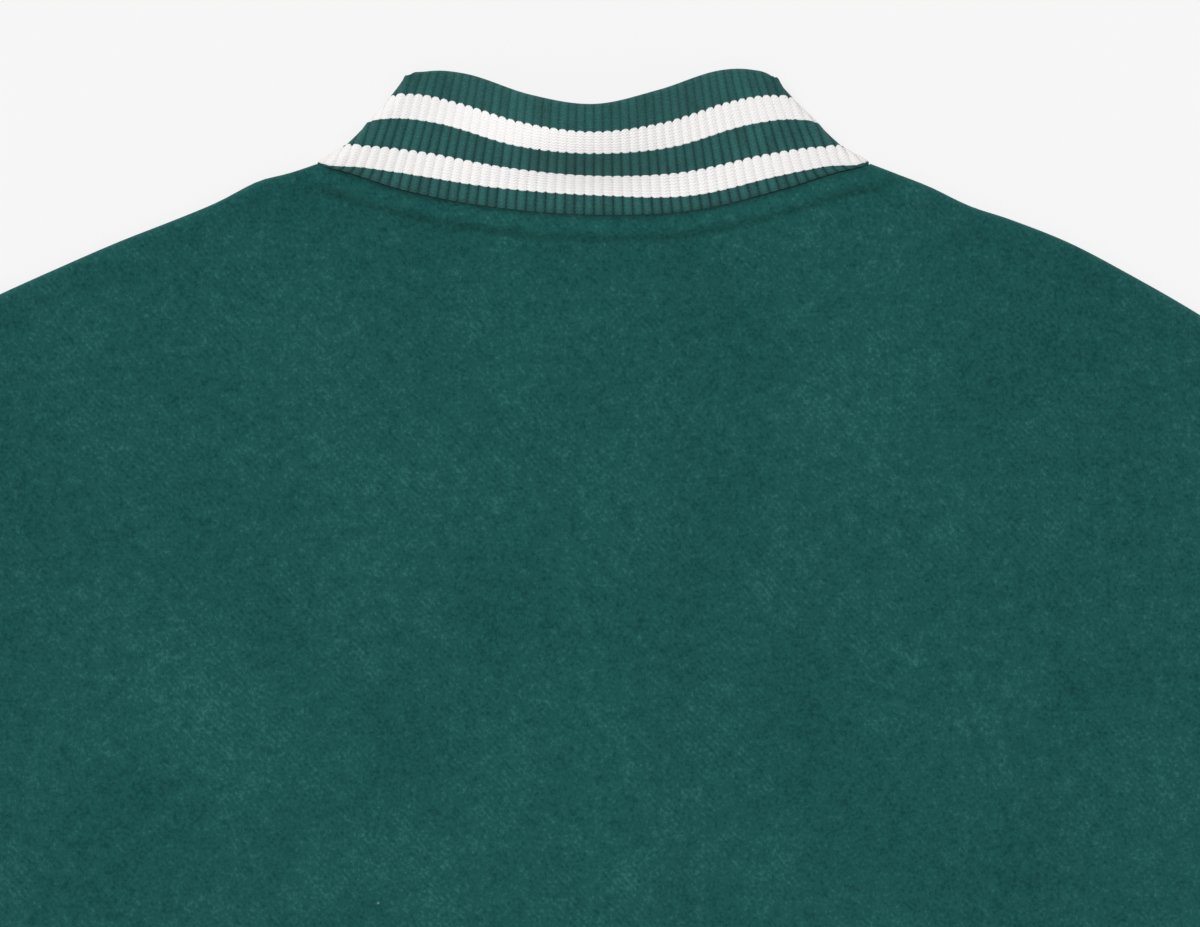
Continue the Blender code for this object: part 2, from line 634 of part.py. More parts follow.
def make_cap(k):
    """A snap's round cap under the left front's edge, its dome down."""
    y = CAP_FIRST_Y + (CAP_LAST_Y - CAP_FIRST_Y) * k / (CAP_N - 1)
    r, h = CAP_D / 2, CAP_H
    profile = [(0.0, 0.0), (0.55 * r, 0.0), (0.86 * r, 0.28 * h), (r, 0.62 * h), (r, h), (0.0, h)]
    bm = bmesh.new()
    verts = [bm.verts.new(place((x, y, z))) for x, z in profile]
    edges = [bm.edges.new((a, b)) for a, b in zip(verts, verts[1:])]
    bmesh.ops.spin(bm, geom=verts + edges, cent=place((0, y, 0)), axis=(0, 0, 1),
                   angle=2 * math.pi, steps=20)
    bmesh.ops.remove_doubles(bm, verts=bm.verts, dist=1e-6)
    return finish_object(f"snap_cap_{k + 1}", bm, CAP_MAT)


make_back()
make_front(-1, "front_left")
make_front(1, "front_right")
make_sleeve(-1, "sleeve_left")
make_sleeve(1, "sleeve_right")
make_collar()
make_cuff(-1, "cuff_left")
make_cuff(1, "cuff_right")
make_hem()
for k in range(CAP_N):
    make_cap(k)
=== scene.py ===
"""Looks of the varsity jacket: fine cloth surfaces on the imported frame, their materials,
the floor, lights and camera.

The flat lay is worked out in the plane in millimetres from the centre back of the neck
seam (+X right, +Y towards the collar), as in the frame, and then lifted on to its two
layers.  Everything is deterministic.
"""
import math

import bpy
import numpy as np
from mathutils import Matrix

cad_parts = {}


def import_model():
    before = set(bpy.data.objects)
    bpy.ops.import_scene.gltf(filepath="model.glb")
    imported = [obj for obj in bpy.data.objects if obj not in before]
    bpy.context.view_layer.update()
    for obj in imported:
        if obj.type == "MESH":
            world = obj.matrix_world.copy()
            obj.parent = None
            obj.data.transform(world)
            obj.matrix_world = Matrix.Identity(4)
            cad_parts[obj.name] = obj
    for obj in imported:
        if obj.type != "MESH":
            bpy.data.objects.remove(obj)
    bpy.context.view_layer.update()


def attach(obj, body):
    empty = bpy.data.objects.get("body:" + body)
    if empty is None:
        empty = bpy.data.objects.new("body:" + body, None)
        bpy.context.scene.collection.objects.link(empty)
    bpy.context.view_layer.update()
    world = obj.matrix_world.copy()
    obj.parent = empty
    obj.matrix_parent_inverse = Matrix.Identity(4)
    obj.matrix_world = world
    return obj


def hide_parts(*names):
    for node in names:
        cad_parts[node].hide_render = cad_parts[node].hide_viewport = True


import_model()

scene = bpy.context.scene
scene.view_settings.view_transform = "Standard"
scene.view_settings.look = "None"

# ================================================================ sizes of the frame, in mm
WOOL, RIB, GAP = 2.5, 4.0, 0.3
LAYER_TOP = 8.4
RIDGE, RIDGE_FLAT, RIDGE_OUT = 3.4, 22.0, 46.0
NECK_FRONT_Y, COLLAR_END = -78.0, 0.75
BODY_HEM_Y, HEM_Y, BODY_HEM_HALF = -618.0, -683.0, 272.0
HEM_TOP_HALF, HEM_LOW_HALF, TAB, LAP = 266.0, 262.0, 45.0, 13.0
LEFT_STEP, LEFT_LIFT = (31.0, 17.0), 2.8
RIGHT_STEP, RIGHT_LIFT = (40.0, 18.0), 5.6
COLLAR_LIFT = 3.0
CAP_D, CAP_H, CAP_N, CAP_FIRST_Y, CAP_LAST_Y = 15.0, 2.5, 7, -97.0, -664.0
CUFF_LEN, CUFF_HALF, CUFF_LOW_HALF = 65.0, 48.0, 46.0
LENGTH_MID, MM = 313.0, 0.001

FOLD, MID = (LAYER_TOP - WOOL) / 2, LAYER_TOP / 2
RIB_UP, RIB_LOW = LAYER_TOP - WOOL / 2, RIB / 2
RIB_FOLD, RIB_MID = (RIB_UP - RIB_LOW) / 2, (RIB_UP + RIB_LOW) / 2

SHOULDER = (      # distance from the centre, height on the left, height on the right
    (110.0, 19.6, 19.6), (122.0, 15.6, 15.0), (134.0, 12.5, 10.3), (150.0, 4.3, 2.6),
    (166.0, -2.4, -2.7), (190.0, -11.8, -12.2), (214.0, -22.2, -24.8), (238.0, -33.0, -38.5),
    (265.0, -46.0, -55.5))
SLEEVE_TOP = (
    (265.0, -46.0, -55.5), (310.0, -70.0, -82.0), (365.0, -109.0, -121.0),
    (430.0, -169.0, -179.0), (520.0, -262.0, -268.0), (600.0, -347.0, -350.0),
    (662.0, -413.0, -413.0))
SLEEVE_UNDER = ((304.6, -303.0), (309.5, -303.2), (324.0, -313.0), (370.0, -347.0),
                (450.0, -407.0), (520.0, -459.5), (573.7, -497.2))
SIDE = ((272.0, -618.0), (281.0, -606.0), (288.5, -585.0), (291.5, -540.0), (293.0, -460.0),
        (297.0, -370.0), (300.3, -322.0), (301.6, -308.0), (304.6, -303.0))
ARMHOLE = ((304.6, -303.0), (284.0, -272.0), (263.0, -226.0), (252.0, -170.0),
           (250.0, -115.0), (256.0, -77.0), (265.0, None))
FRONT_NECK = ((110.0, 19.6), (107.5, 2.0), (99.0, -20.0), (80.0, -46.0),
              (55.0, -65.5), (31.0, -75.0), (17.0, -77.4), (0.75, -78.0))
COLLAR_FRONT_TOP = ((75.6, 53.4), (73.0, 34.0), (63.0, 12.0), (48.0, -6.0),
                    (32.0, -18.5), (19.0, -25.0), (10.0, -27.4), (0.75, -28.0))
CUFF_AXIS = (0.690, -0.724)

SHARES = (-1.0, -0.9, -0.7, -0.35, 0.0, 0.35, 0.7, 0.9, 1.0)
COLLAR = (        # share of the height, half width, heights at SHARES from left to right
    (0.00, 110.0, (19.6, 16.9, 10.0, 2.9, 0.0, 1.6, 10.6, 17.3, 19.6)),
    (0.13, 108.0, (21.0, 19.4, 16.2, 10.4, 7.1, 7.3, 15.6, 19.8, 21.0)),
    (0.33, 96.6, (28.4, 28.0, 25.6, 19.6, 16.2, 17.6, 24.6, 27.6, 28.0)),
    (0.56, 88.0, (37.2, 38.0, 35.7, 27.0, 24.0, 26.4, 35.2, 37.6, 36.8)),
    (0.79, 78.0, (48.0, 48.9, 45.6, 37.4, 34.0, 37.6, 46.0, 48.4, 47.2)),
    (1.00, 73.6, (53.6, 56.4, 55.6, 47.6, 44.0, 49.4, 57.0, 56.6, 53.0)))
COLLAR_RISE = ((0.00, 0.0), (0.13, 1.0), (0.33, 6.0), (0.56, 13.5), (0.79, 18.0), (1.00, 19.5))
RISE_REACH = 0.78

# ================================================================ sizes of the looks, in mm
RIB_PITCH_LOW, RIB_PITCH_TOP = 3.92, 3.24   # one rib at the collar's seam and at its top edge
RIB_DEEP = 0.80                             # depth of the grooves between ribs
RIB_STEPS = 8                               # mesh columns for a rib
COLLAR_TALL = 48.4
COLLAR_WALES = 66                           # ribs from the centre back to the centre front
SEAM = 0.06                                 # what is left open at a sewn seam
OFFSET = 0.9                                # how far the lower layer's seams lie from the upper's
STITCH_AT = 9.6                             # the neck topstitch, from the seam
TWILL = 2.1                                 # spacing of the twill lines

# soft troughs (-) and ridges (+) of the upper layer: from x, y to x, y, half width, height
CREASES = (
    (66.0, -92.0, 112.0, -250.0, 17.0, -1.3),
    (30.0, -6.0, 66.0, -50.0, 9.0, -0.7),
    (-98.0, -22.0, -150.0, -150.0, 22.0, 0.7),
    (150.0, -215.0, 205.0, -330.0, 20.0, -1.6),
    (205.0, -30.0, 238.0, -120.0, 17.0, -1.4),
    (-236.0, -70.0, -240.0, -200.0, 20.0, -1.8),
    (-205.0, -210.0, -120.0, -300.0, 20.0, 0.9),
    (-60.0, -190.0, -95.0, -330.0, 26.0, -0.7),
    (-272.0, -310.0, -120.0, -400.0, 13.0, -2.2),
    (-268.0, -345.0, -150.0, -440.0, 11.0, 4.6),
    (270.0, -308.0, 150.0, -385.0, 12.0, -2.1),
    (266.0, -336.0, 170.0, -450.0, 10.0, 4.2),
    (272.0, -400.0, 215.0, -520.0, 12.0, 3.6),
    (-250.0, -440.0, -205.0, -600.0, 13.0, 4.4),
    (-215.0, -450.0, -178.0, -615.0, 12.0, -1.8),
    (-120.0, -430.0, -150.0, -612.0, 18.0, -1.6),
    (-98.0, -470.0, -112.0, -614.0, 12.0, 3.6),
    (95.0, -400.0, 130.0, -606.0, 17.0, -1.8),
    (122.0, -450.0, 168.0, -614.0, 12.0, 4.0),
    (214.0, -500.0, 226.0, -614.0, 12.0, -1.6),
    (60.0, -500.0, 78.0, -612.0, 12.0, 1.8),
    (-60.0, -556.0, 66.0, -572.0, 13.0, -1.0),
)
# gathers where the hem band takes in the cloth: x, how far up they run, half width, height
HEM_GATHERS = (
    (-236.0, 52.0, 8.0, 2.0), (-204.0, 30.0, 6.0, -1.3), (-178.0, 64.0, 9.0, 2.4), (-141.0, 36.0, 7.0, -1.5),
    (-72.0, 44.0, 8.0, 1.9), (-52.0, 26.0, 6.0, -1.2), (57.0, 30.0, 7.0, -1.3), (84.0, 58.0, 9.0, 2.2),
    (112.0, 28.0, 6.0, -1.2), (152.0, 40.0, 7.0, 1.7), (196.0, 66.0, 9.0, 2.3), (222.0, 30.0, 6.0, -1.4),
    (243.0, 46.0, 7.0, 2.0))
# broad painted highlights (+) and painted shade (-) on the back: x, y, reach across, reach along, share
PAINTED_LIGHT_PATCHES = (
    (88.0, -170.0, 16.0, 70.0, -0.05), (50.0, -30.0, 14.0, 14.0, -0.05), (178.0, -256.0, 22.0, 36.0, -0.07),
    (-232.0, -120.0, 24.0, 60.0, -0.07), (210.0, -60.0, 34.0, 30.0, -0.06), (-2.0, -200.0, 14.0, 60.0, 0.05),
    (-150.0, -210.0, 60.0, 26.0, 0.03), (40.0, -330.0, 80.0, 40.0, 0.03), (-170.0, -470.0, 40.0, 90.0, -0.05),
    (140.0, -500.0, 50.0, 70.0, -0.04), (-40.0, -540.0, 90.0, 30.0, 0.04))
# the same across each sleeve: how far along from armhole to cuff and across it from the
# under edge, to the same, half width, height
SLEEVE_CREASES = {
    -1: ((0.05, 0.08, 0.22, 0.62, 9.0, -2.1), (0.09, 0.06, 0.30, 0.55, 9.0, 5.6),
         (0.17, 0.03, 0.40, 0.42, 8.0, -1.9), (0.34, 0.95, 0.47, 0.40, 8.0, -1.6),
         (0.38, 0.97, 0.53, 0.44, 9.0, 4.6), (0.52, 0.05, 0.62, 0.72, 8.0, 5.4),
         (0.57, 0.05, 0.68, 0.66, 8.0, -2.0), (0.70, 0.97, 0.78, 0.35, 7.0, -1.6),
         (0.74, 0.97, 0.82, 0.30, 8.0, 4.2), (0.86, 0.05, 0.90, 0.60, 6.0, -1.5),
         (0.90, 0.95, 0.93, 0.40, 7.0, 3.2)),
    1: ((0.04, 0.10, 0.26, 0.56, 10.0, -2.2), (0.10, 0.06, 0.33, 0.50, 9.0, 5.2),
        (0.24, 0.04, 0.39, 0.38, 8.0, -1.7), (0.41, 0.97, 0.55, 0.50, 9.0, 4.8),
        (0.46, 0.97, 0.58, 0.44, 8.0, -1.8), (0.49, 0.04, 0.66, 0.56, 9.0, -2.0),
        (0.53, 0.04, 0.70, 0.50, 8.0, 5.2), (0.76, 0.96, 0.82, 0.42, 7.0, -1.5),
        (0.80, 0.96, 0.86, 0.36, 8.0, 4.2), (0.88, 0.06, 0.93, 0.66, 6.0, -1.4)),
}


# ================================================================ plane geometry
def step(t):
    t = np.clip(t, 0, 1)
    return t * t * (3 - 2 * t)


def hermite(xs, ys, x):
    """A smooth curve through (xs, ys), read at every x.  ys may hold one row for each x."""
    xs, ys = np.asarray(xs, float), np.asarray(ys, float)
    x = np.clip(np.asarray(x, float), xs[0], xs[-1])
    slope = np.diff(ys, axis=-1) / np.diff(xs)
    m = np.concatenate([slope[..., :1], (slope[..., 1:] + slope[..., :-1]) / 2, slope[..., -1:]], axis=-1)
    i = np.clip(np.searchsorted(xs, x, side="right") - 1, 0, len(xs) - 2)
    h = xs[i + 1] - xs[i]
    t = (x - xs[i]) / h
    if ys.ndim == 1:
        y0, y1, m0, m1 = ys[i], ys[i + 1], m[i], m[i + 1]
    else:
        r = np.arange(len(ys))
        y0, y1, m0, m1 = ys[r, i], ys[r, i + 1], m[r, i], m[r, i + 1]
    return ((2 * t**3 - 3 * t**2 + 1) * y0 + (t**3 - 2 * t**2 + t) * h * m0
            + (3 * t**2 - 2 * t**3) * y1 + (t**3 - t**2) * h * m1)


class Path:
    def __init__(self, points, spacing=2.0):
        p = np.asarray(points, float)
        far = np.linalg.norm(np.diff(p, axis=0), axis=1)
        knots = np.concatenate([[0], np.cumsum(np.sqrt(far))])
        ts = np.unique(np.concatenate([np.linspace(0, knots[-1], max(8, int(far.sum() / spacing)) + 1), knots]))
        self.points = np.stack([hermite(knots, p[:, k], ts) for k in (0, 1)], axis=1)
        self.along = np.concatenate([[0], np.cumsum(np.linalg.norm(np.diff(self.points, axis=0), axis=1))])
        self.length = float(self.along[-1])

    def at(self, distance):
        return np.stack([np.interp(distance, self.along, self.points[:, k]) for k in (0, 1)], axis=-1)


class Edge:
    """Lines of the plan, with the way that points outwards along them."""

    def __init__(self, lines):
        a, b, na, nb = [], [], [], []
        for points, side in lines:
            p = np.asarray(points, float)
            seg = np.diff(p, axis=0)
            seg = seg / np.linalg.norm(seg, axis=1)[:, None]
            nor = np.stack([seg[:, 1], -seg[:, 0]], axis=1) * side
            vert = np.concatenate([nor[:1], nor[1:] + nor[:-1], nor[-1:]])
            vert = vert / np.linalg.norm(vert, axis=1)[:, None]
            a.append(p[:-1])
            b.append(p[1:])
            na.append(vert[:-1])
            nb.append(vert[1:])
        self.a, self.b, self.na, self.nb = (np.concatenate(x) for x in (a, b, na, nb))

    def near(self, p):
        """(distance from the nearest line, the way out) of each point"""
        p = np.asarray(p, float)
        shape = p.shape[:-1]
        p = p.reshape(-1, 2)
        ab = self.b - self.a
        sq = (ab * ab).sum(1)
        dist, way = np.empty(len(p)), np.empty((len(p), 2))
        for k in range(0, len(p), 4096):
            ap = p[k:k + 4096, None] - self.a[None]
            t = np.clip((ap[..., 0] * ab[:, 0] + ap[..., 1] * ab[:, 1]) / sq, 0, 1)
            dd = (ap[..., 0] - t * ab[:, 0]) ** 2 + (ap[..., 1] - t * ab[:, 1]) ** 2
            i = dd.argmin(1)
            r = np.arange(len(i))
            tt = t[r, i][:, None]
            n = self.na[i] * (1 - tt) + self.nb[i] * tt
            dist[k:k + 4096] = np.sqrt(dd[r, i])
            way[k:k + 4096] = n / np.linalg.norm(n, axis=1)[:, None]
        return dist.reshape(shape), way.reshape(shape + (2,))


def mirrored(points, side):
    return np.asarray(points, float) * (side, 1)


def coons(bottom, top, left, right, us, vs):
    u, v = np.asarray(us)[None, :, None], np.asarray(vs)[:, None, None]
    bottom, top, left, right = (np.asarray(x, float) for x in (bottom, top, left, right))
    return ((1 - v) * bottom[None] + v * top[None] + (1 - u) * left[:, None] + u * right[:, None]
            - (1 - u) * (1 - v) * bottom[0] - u * (1 - v) * bottom[-1]
            - (1 - u) * v * top[0] - u * v * top[-1])


def shares(points):
    s = np.concatenate([[0], np.cumsum(np.linalg.norm(np.diff(np.asarray(points, float), axis=0), axis=1))])
    return s / s[-1]


def moved(points, distance):
    p = np.asarray(points, float)
    t = np.gradient(p, axis=0)
    t = t / np.linalg.norm(t, axis=1)[:, None]
    return p + np.stack([-t[:, 1], t[:, 0]], axis=1) * distance


CLOSE = (0.0, 0.2, 0.55, 1.05, 1.7, 2.4, 3.1, 4.2)   # distances from a seam or fold with a mesh line


# the same below the neck, where the turned edge is stitched down
NECK_ROWS = (0.0, 0.2, 0.6, 1.1, 1.7, 2.5, 3.4, 4.5, 5.6, 6.6, 7.4, 8.1, 8.7, 9.3, 9.9, 10.5, 11.2, 12.0, 13.0,
             14.3, 16.0, 18.0)


def spread(length, gap, first=True, last=True):
    """Distances along a line: close together at its ends, about gap apart between."""
    low = [c for c in CLOSE] if first else [0.0]
    high = [length - c for c in reversed(CLOSE)] if last else [length]
    n = max(1, round((high[0] - low[-1]) / gap))
    return np.array(low + [low[-1] + (high[0] - low[-1]) * k / n for k in range(1, n)] + high)


# ---------------------------------------------------------------- outlines
def side_of(table, side):
    return [(side * row[0], row[1] if side < 0 else row[2]) for row in table]


SHOULDER_PATH = {s: Path(side_of(SHOULDER, s)) for s in (-1, 1)}
SLEEVE_TOP_PATH = {s: Path(side_of(SLEEVE_TOP, s)) for s in (-1, 1)}
SLEEVE_UNDER_PATH = {s: Path(mirrored(SLEEVE_UNDER, s)) for s in (-1, 1)}
SIDE_PATH = {s: Path(mirrored(SIDE, s)) for s in (-1, 1)}
ARMHOLE_PATH = {s: Path([(s * x, SHOULDER[-1][1 if s < 0 else 2] if y is None else y) for x, y in ARMHOLE])
                for s in (-1, 1)}
FRONT_NECK_PATH = {s: Path(mirrored(FRONT_NECK, s)) for s in (-1, 1)}
COLLAR_FRONT_TOP_PATH = {s: Path(mirrored(COLLAR_FRONT_TOP, s)) for s in (-1, 1)}
UPS = [r[0] for r in COLLAR]


def collar_half(up):
    return hermite(UPS, [r[1] for r in COLLAR], up)


def collar_back(share, up):
    """Points of the collar's back in plan."""
    share, up = np.broadcast_arrays(np.asarray(share, float), np.asarray(up, float))
    flat_share, flat_up = share.ravel(), up.ravel()
    rows = np.stack([hermite(SHARES, r[2], flat_share) for r in COLLAR], axis=1)
    y = hermite(UPS, rows, flat_up)
    return np.stack([flat_share * collar_half(flat_up), y], axis=1).reshape(share.shape + (2,))


FOLD_UPS = (0.0, 0.065, 0.13, 0.2, 0.27, 0.33, 0.41, 0.48, 0.56, 0.64, 0.72, 0.79, 0.86, 0.93, 1.0)


def collar_fold(side):
    return list(collar_back(np.full(len(FOLD_UPS), side), FOLD_UPS))


def joined(*paths):
    out = []
    for p in paths:
        out += [q for q in p if not out or np.linalg.norm(np.asarray(q) - out[-1]) > 1e-6]
    return out


WOOL_EDGE = Edge(
    [(joined(SLEEVE_TOP_PATH[s].points[::-1], SHOULDER_PATH[s].points[::-1], collar_fold(s)), s) for s in (-1, 1)]
    + [(joined(SIDE_PATH[s].points, SLEEVE_UNDER_PATH[s].points), s) for s in (-1, 1)])
COLLAR_EDGE = Edge([(joined(SHOULDER_PATH[s].points[::-1], collar_fold(s)), s) for s in (-1, 1)])
NECK_SEAM = Edge([(collar_back(np.linspace(-1, 1, 121), 0.0), 1)])
ARMHOLE_SEAM = {s: Edge([(ARMHOLE_PATH[s].points, 1)]) for s in (-1, 1)}
SIDE_SEAM = Edge([(SIDE_PATH[s].points, 1) for s in (-1, 1)])
SHOULDER_SEAM = Edge([(SHOULDER_PATH[s].points, 1) for s in (-1, 1)])


# ================================================================ the two layers
def ridge(x, y):
    return RIDGE * step((RIDGE_OUT - abs(x)) / (RIDGE_OUT - RIDGE_FLAT)) * step((-8 - y) / 45)


def left_lift(x, y):
    return LEFT_LIFT * step((x + LEFT_STEP[0]) / (LEFT_STEP[0] - LEFT_STEP[1]))


def right_lift(x, y):
    return RIGHT_LIFT * step((RIGHT_STEP[0] - x) / (RIGHT_STEP[0] - RIGHT_STEP[1]))


def none(x, y):
    return x * 0.0


def trough(x, y, row):
    """A soft groove or ridge along a line, tapering to its ends."""
    x0, y0, x1, y1, wide, high = row
    dx, dy = x1 - x0, y1 - y0
    long = math.hypot(dx, dy)
    t = ((x - x0) * dx + (y - y0) * dy) / long**2
    off = ((x - x0) * dy - (y - y0) * dx) / long
    off = off + 0.10 * long * (t - 0.5) ** 2 * 2 - 0.03 * long
    ends = step((t + 0.12) / 0.42) * step((1.12 - t) / 0.42)
    return high * np.exp(-(off / wide) ** 2) * ends


WAVES = (   # length in mm, direction in degrees, phase, height: the slight unevenness of laid cloth
    (173.0, 24.0, 0.3, 0.40), (121.0, 101.0, 1.9, 0.32), (96.0, 63.0, 4.1, 0.26),
    (71.0, 147.0, 2.2, 0.17), (53.0, 12.0, 5.2, 0.10), (41.0, 82.0, 0.9, 0.07))


def uneven(x, y):
    z = 0.0
    for long, angle, phase, high in WAVES:
        a = math.radians(angle)
        z = z + high * np.sin((x * math.cos(a) + y * math.sin(a)) * 2 * math.pi / long + phase
                              + 0.8 * np.sin(y / long * 2.3 + phase))
    return z


def laid(x, y):
    """Height that the back gains over its flat layer."""
    soft = uneven(x, y)
    for row in CREASES:
        soft = soft + trough(x, y, row)
    for gx, high_, wide, much in HEM_GATHERS:
        soft = soft + trough(x, y, (gx, BODY_HEM_Y + 6, gx * 0.985, BODY_HEM_Y + 6 + high_, wide, much))
    # seams hold the cloth: it keeps the height of its neighbour there
    p = np.stack([x, y], axis=-1)
    seam = np.minimum(ARMHOLE_SEAM[-1].near(p)[0], ARMHOLE_SEAM[1].near(p)[0])
    return ridge(x, y) + soft * step(seam / 18) * step((y - BODY_HEM_Y) / 24)


def layer(p, side, edge, centre, radius, lift, gap=GAP / 2):
    """Lifts plan points on to the upper (1) or lower (-1) layer: (points at mid wall, outward normals)."""
    x, y = p[..., 0], p[..., 1]
    d, out = edge.near(p)
    c = np.clip(1 - d / radius, 0, 1)
    s = np.sqrt(1 - c * c)
    # what lies flat of the fold is pressed down less near it
    calm = s * step(d / 26.0) if side > 0 else s
    up = lift(x, y)
    z = centre + side * np.maximum(gap, radius * s) + up * calm
    e = 0.5
    gx, gy = (lift(x + e, y) - lift(x - e, y)) / (2 * e), (lift(x, y + e) - lift(x, y - e)) / (2 * e)
    n = np.stack([out[..., 0] * c - side * gx * calm, out[..., 1] * c - side * gy * calm, side * s], axis=-1)
    n = n / np.linalg.norm(n, axis=-1)[..., None]
    return np.stack([x, y, z], axis=-1), n


# ================================================================ making meshes
def world(points):
    return (np.asarray(points) + (0, LENGTH_MID, 0)) * MM


def cloth(name, outer, inner, mat, uv, closed=False, cells=None, tone=None):
    """A wall between two matching grids.  uv has a row for each row, and a column more than the grid if closed."""
    rows, cols = outer.shape[:2]
    n = rows * cols
    wide = cols if closed else cols - 1
    j, i = np.meshgrid(np.arange(rows - 1), np.arange(wide), indexing="ij")
    if cells is not None:
        keep = cells(j, i)
        j, i = j[keep], i[keep]
    j, i = j.ravel(), i.ravel()
    i2 = (i + 1) % cols
    front = np.stack([j * cols + i, j * cols + i2, (j + 1) * cols + i2, (j + 1) * cols + i], axis=1)
    uv_front = np.stack([uv[j, i], uv[j, i + 1], uv[j + 1, i + 1], uv[j + 1, i]], axis=1)
    back = front[:, ::-1] + n
    uv_back = uv_front[:, ::-1]
    edges = np.stack([front, np.roll(front, -1, axis=1)], axis=2).reshape(-1, 2)
    uv_edges = np.stack([uv_front, np.roll(uv_front, -1, axis=1)], axis=2).reshape(-1, 2, 2)
    key = np.sort(edges, axis=1)
    key = key[:, 0].astype(np.int64) * n + key[:, 1]
    _, first, count = np.unique(key, return_index=True, return_counts=True)
    rim = edges[first[count == 1]]
    uv_rim = uv_edges[first[count == 1]]
    side = np.stack([rim[:, 1], rim[:, 0], rim[:, 0] + n, rim[:, 1] + n], axis=1)
    uv_side = np.stack([uv_rim[:, 1], uv_rim[:, 0], uv_rim[:, 0], uv_rim[:, 1]], axis=1)
    quads = np.concatenate([front, back, side])
    uvs = np.concatenate([uv_front, uv_back, uv_side])
    points = world(np.concatenate([outer.reshape(-1, 3), inner.reshape(-1, 3)]))
    used = np.unique(quads)
    remap = np.full(2 * n, -1)
    remap[used] = np.arange(len(used))
    points, quads = points[used], remap[quads]
    obj = mesh_object(name, points, quads, mat, uvs)
    if tone is not None:
        values = np.concatenate([tone.ravel(), 0 * tone.ravel()])[used]
        obj.data.attributes.new("tone", "FLOAT", "POINT").data.foreach_set("value", values.astype(np.float32))
    return obj


def mesh_object(name, points, quads, mat, uvs=None):
    mesh = bpy.data.meshes.new(name)
    mesh.vertices.add(len(points))
    mesh.vertices.foreach_set("co", np.asarray(points, np.float32).ravel())
    mesh.loops.add(quads.size)
    mesh.loops.foreach_set("vertex_index", quads.astype(np.int32).ravel())
    mesh.polygons.add(len(quads))
    mesh.polygons.foreach_set("loop_start", np.arange(0, quads.size, quads.shape[1], dtype=np.int32))
    mesh.polygons.foreach_set("use_smooth", np.ones(len(quads), bool))
    if uvs is not None:
        layer_ = mesh.uv_layers.new(name="cloth")
        layer_.data.foreach_set("uv", np.asarray(uvs, np.float32).ravel())
    mesh.update(calc_edges=True)
    mesh.validate()
    signed = 0.0
    tri = np.concatenate([quads[:, [0, 1, 2]], quads[:, [0, 2, 3]]]) if quads.shape[1] == 4 else quads
    a, b, c = (np.asarray(points)[tri[:, k]] for k in range(3))
    signed = float(np.einsum("ij,ij->i", a, np.cross(b, c)).sum())
    if signed < 0:
        mesh.flip_normals()
    mesh.materials.append(mat)
    obj = bpy.data.objects.new(name, mesh)
    scene.collection.objects.link(obj)
    return obj


# ================================================================ materials
def tree_of(name):
    mat = bpy.data.materials.new(name)
    mat.use_nodes = True
    nodes, links = mat.node_tree.nodes, mat.node_tree.links
    nodes.clear()
    out = nodes.new("ShaderNodeOutputMaterial")
    shader = nodes.new("ShaderNodeBsdfPrincipled")
    links.new(shader.outputs[0], out.inputs[0])
    return mat, nodes, links, shader


class Graph:
    """Short ways to write a node graph."""

    def __init__(self, nodes, links):
        self.nodes, self.links = nodes, links

    def put(self, socket, value):
        if isinstance(value, bpy.types.NodeSocket):
            self.links.new(value, socket)
        else:
            socket.default_value = value

    def math(self, op, a, b=0.0, c=0.0, clamp=False):
        n = self.nodes.new("ShaderNodeMath")
        n.operation = op
        n.use_clamp = clamp
        for k, v in enumerate((a, b, c)):
            self.put(n.inputs[k], v)
        return n.outputs[0]

    def span(self, value, a, b, lo=0.0, hi=1.0):
        """lo to hi as value goes smoothly from a to b"""
        n = self.nodes.new("ShaderNodeMapRange")
        n.interpolation_type = "SMOOTHSTEP"
        for k, v in enumerate((value, a, b, lo, hi)):
            self.put(n.inputs[k], v)
        return n.outputs[0]

    def mix(self, factor, a, b, how="MIX"):
        n = self.nodes.new("ShaderNodeMix")
        n.data_type = "RGBA"
        n.blend_type = how
        n.clamp_result = False
        self.put(n.inputs[0], factor)
        for k, v in ((6, a), (7, b)):
            self.put(n.inputs[k], v if isinstance(v, bpy.types.NodeSocket) else (*v, 1))
        return n.outputs[2]

    def noise(self, vector, scale, detail=2.0, rough=0.5, distort=0.0):
        n = self.nodes.new("ShaderNodeTexNoise")
        n.noise_dimensions = "3D"
        self.put(n.inputs["Vector"], vector)
        for key, v in (("Scale", scale), ("Detail", detail), ("Roughness", rough), ("Distortion", distort)):
            n.inputs[key].default_value = v
        return n.outputs["Fac"]

    def vector(self, x, y, z=0.0):
        n = self.nodes.new("ShaderNodeCombineXYZ")
        for k, v in enumerate((x, y, z)):
            self.put(n.inputs[k], v)
        return n.outputs[0]

    def scaled(self, vector, by):
        n = self.nodes.new("ShaderNodeVectorMath")
        n.operation = "MULTIPLY"
        self.links.new(vector, n.inputs[0])
        n.inputs[1].default_value = by if hasattr(by, "__len__") else (by, by, by)
        return n.outputs[0]

    def bump(self, height, strength, distance, normal=None):
        n = self.nodes.new("ShaderNodeBump")
        n.inputs["Strength"].default_value = strength
        n.inputs["Distance"].default_value = distance
        self.put(n.inputs["Height"], height)
        if normal is not None:
            self.links.new(normal, n.inputs["Normal"])
        return n.outputs[0]


def coordinates(g):
    """(object position in mm, the piece's own u and v)"""
    tex = g.nodes.new("ShaderNodeTexCoord")
    position = g.scaled(tex.outputs["Object"], 1000.0)
    uv = g.nodes.new("ShaderNodeUVMap")
    uv.uv_map = "cloth"
    sep = g.nodes.new("ShaderNodeSeparateXYZ")
    g.links.new(uv.outputs[0], sep.inputs[0])
    return position, g.math("MULTIPLY", sep.outputs[0], 100.0), g.math("MULTIPLY", sep.outputs[1], 100.0)


